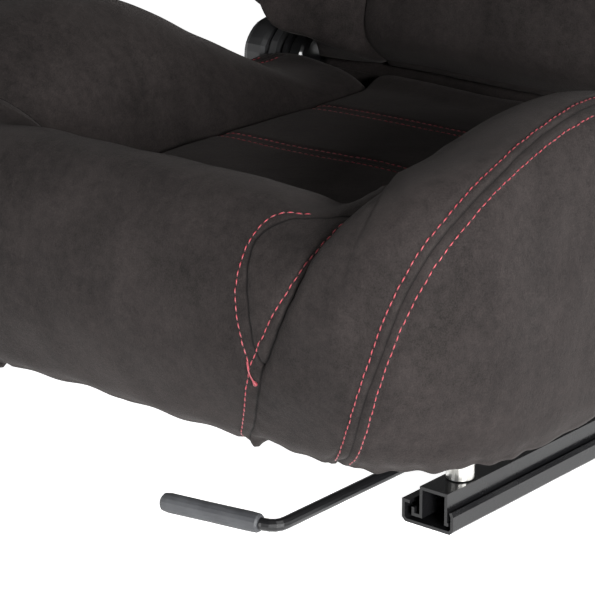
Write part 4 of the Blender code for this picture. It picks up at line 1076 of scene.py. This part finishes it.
def wingRing(share, side):
    # one level cut through a wing, share running from its foot to the shoulder
    b, look = back, wingLook
    h = look["foot"] + (b["shoulder"] - 0.0005 - look["foot"]) * share
    width = b["half"] + np.interp(share, *zip(*look["out"]))
    depth = look["depth"] * np.interp(share, *zip(*look["deep"]))
    inner = b["panelHalf"] + 0.0012
    span = width - inner
    rear = b["rear"] - 0.001
    outline = np.array([
        (inner, b["padFront"] + 0.002), (inner + 0.30 * span, b["padFront"] - 0.45 * (depth + b["padFront"])),
        (inner + 0.54 * span, -depth + 0.012), (inner + 0.70 * span, -depth + 0.001),
        (inner + 0.86 * span, -depth + 0.013), (width - 0.002, -depth + 0.045), (width, -depth * 0.35),
        (width - 0.004, 0.002), (width - 0.014, rear), (b["wingInner"] + 0.002, rear),
        (b["wingInner"] + 0.001, b["foamBack"]), (inner + 0.001, b["foamBack"])])
    lift = np.maximum(0, -outline[:, 1] - 0.050) * look["frontLift"]
    lift -= look["innerDrop"] * (outline[:, 0] < 0.240)
    h = h + lift * max(0.0, 1 - share / look["liftTo"])
    return np.stack([side * outline[:, 0], outline[:, 1], h], -1)


def wingEdge(first, last, side, offset=0.0):
    # the wing's outer front edge between two shares of its height, moved back by the offset
    edge = np.stack([wingRing(s, side)[5] for s in np.linspace(first, last, 60)])
    return fromBack(*(edge + [0, offset, 0]).T)


def makeWings(look):
    rows = []
    for side, name in ((1, "left"), (-1, "right")):
        rings = rounded(np.stack([wingRing(s, side) for s in look["shares"]]), 9, 9, 0.010, 0.003)
        line = throughPoints(wingEdge(0.01, 0.99, side), 4)
        piece = addPad(name + "_wing_cushion", rings, name + "_back_wing", [(line, *look["seam"])])
        tree = treeOf(piece)
        out = unit(np.tile([side * 1.0, 0, 0], (60, 1)) + backNormal(60) * 0.35)
        for offset in (-look["rowOffset"], look["rowOffset"]):
            rows.append(laidOn(tree, wingEdge(0.03, 0.97, side, offset), out, 0.04))
    makeStitches("wing_stitching", rows, "backrest")


# outline as (back from the recliner axis, height along the back)
flapLook = {"ring": ((-0.0072, 0.0140), (-0.0072, -0.0036), (-0.0080, -0.0044), (-0.0106, -0.0044),
                     (-0.0116, -0.0036), (-0.0116, 0.0140)), "half": 0.236}


def makeFlap(look):
    # the back cover's lower edge hangs in front of the recliner's shaft
    addStrip("back_hem", look["half"], look["ring"], fromBack, "backrest")


shoulderLook = {"voxel": 0.0034, "rounds": 26, "unevenness": 0.0006}


def makeShoulder(look):
    # the shoulder cushion's own solid, cut into small even faces and relaxed so that its edges turn soft
    piece = bpy.data.objects.new("shoulder_pad", frame["nodes"]["shoulder_cushion"].data.copy())
    bpy.context.scene.collection.objects.link(piece)
    remesh = piece.modifiers.new("remesh", "REMESH")
    remesh.mode, remesh.voxel_size = "VOXEL", look["voxel"]
    relax = piece.modifiers.new("relax", "SMOOTH")
    relax.factor, relax.iterations = 0.5, look["rounds"]
    bpy.context.view_layer.update()
    mesh = bpy.data.meshes.new_from_object(piece.evaluated_get(bpy.context.evaluated_depsgraph_get()))
    piece.modifiers.clear()
    piece.data = mesh
    points, normals = pointsOf(piece), normalsOf(piece)
    movePoints(piece, points + normals * (look["unevenness"] * ripples(points, 0.09, 12))[:, None])
    mesh.polygons.foreach_set("use_smooth", np.ones(len(mesh.polygons), bool))
    dress(piece, np.zeros(len(points)))
    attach(piece, "backrest")
    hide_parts("shoulder_cushion")


centreLook = {
    "base": 0.0095,
    "shares": (0, 0.012, 0.030, 0.060, 0.12, 0.2, 0.3, 0.4, 0.5, 0.6, 0.7, 0.8, 0.9, 0.97, 1.0),
    "tuck": ((0, 0.040), (0.012, 0.022), (0.030, 0.009), (0.060, 0.001), (0.12, 0)),
    "lumbar": 0.006, "lumbarAt": 0.28, "lumbarReach": 0.2,
    # round the outline: half widths as shares, and how far behind the front face each front point is
    "halves": (-0.97, 0.0, 0.97, 1.0, 1.0, 0.97, 0.80, 0.45, 0.0, -0.45, -0.80, -0.97, -1.0, -1.0),
    "atFront": (0.014, 0.004, -0.001, -0.004, -0.006, -0.004, -0.001, 0.004, 0.014),
    "channels": (0.27, 0.52, 0.77), "channel": (0.0045, 0.0090), "rowOffset": 0.0078,
}


def makeBackCentre(look):
    # the centre cushion with a lumbar swell and sewn channels across it
    b = back
    base, height = look["base"], b["shoulder"] - 0.030 - look["base"]
    rear = b["foamBack"] - 0.0002
    rings = []
    for share in look["shares"]:
        front = b["padFront"] + np.interp(share, *zip(*look["tuck"]))
        front = front - look["lumbar"] * swell(share - look["lumbarAt"], look["lumbarReach"])
        ds = np.array([rear, rear, rear, rear - 0.006, *(front + np.array(look["atFront"])), rear - 0.006])
        half = b["panelHalf"] - 0.0006
        rings.append(np.stack([half * np.array(look["halves"]), ds, np.full(14, base + height * share)], -1))
    across = np.linspace(-b["panelHalf"] + 0.006, b["panelHalf"] - 0.006, 120)
    levels = [base + height * share for share in look["channels"]]
    face = b["padFront"] - 0.006
    lines = [(fromBack(across, face, level), *look["channel"]) for level in levels]
    piece = addPad("back_centre", rounded(np.stack(rings), 9, 14, 0.004, 0.001), "back_centre_cushion", lines)
    tree = treeOf(piece)
    rows = [laidOn(tree, fromBack(across, face, level + offset), backNormal(120))
            for level in levels for offset in (-look["rowOffset"], look["rowOffset"])]
    makeStitches("back_stitching", rows, "backrest")


# share of the height, how much wider than the foot, and how far back its front is set
headrestLook = {"half": 0.154, "shape": ((0, 0.0, 0.0), (0.08, 0.002, -0.004), (0.3, -0.002, -0.010),
                                         (0.6, -0.010, -0.012), (0.85, -0.028, -0.006), (0.95, -0.044, 0.004),
                                         (1.0, -0.066, 0.016))}


def makeHeadrest(look):
    b = back
    rear = b["rear"] - 0.001
    rings = []
    for share, wider, front in look["shape"]:
        half = look["half"] + wider
        near = b["padFront"] + front
        outline = ((-half, rear - 0.010), (-half + 0.010, rear), (0, rear), (half - 0.010, rear),
                   (half, rear - 0.010), (half, near + 0.016), (half - 0.016, near + 0.002),
                   (half * 0.5, near - 0.002), (0, near - 0.004), (-half * 0.5, near - 0.002),
                   (-half + 0.016, near + 0.002), (-half, near + 0.016))
        rings.append([(x, d, b["neck"] + (b["top"] - b["neck"]) * share) for x, d in outline])
    piece = addPad("headrest", rounded(np.array(rings), 9, 9, 0.012, 0.003), "headrest_cushion")


makeWings(wingLook)
makeFlap(flapLook)
makeShoulder(shoulderLook)
makeBackCentre(centreLook)
makeHeadrest(headrestLook)
print("backrest padded")
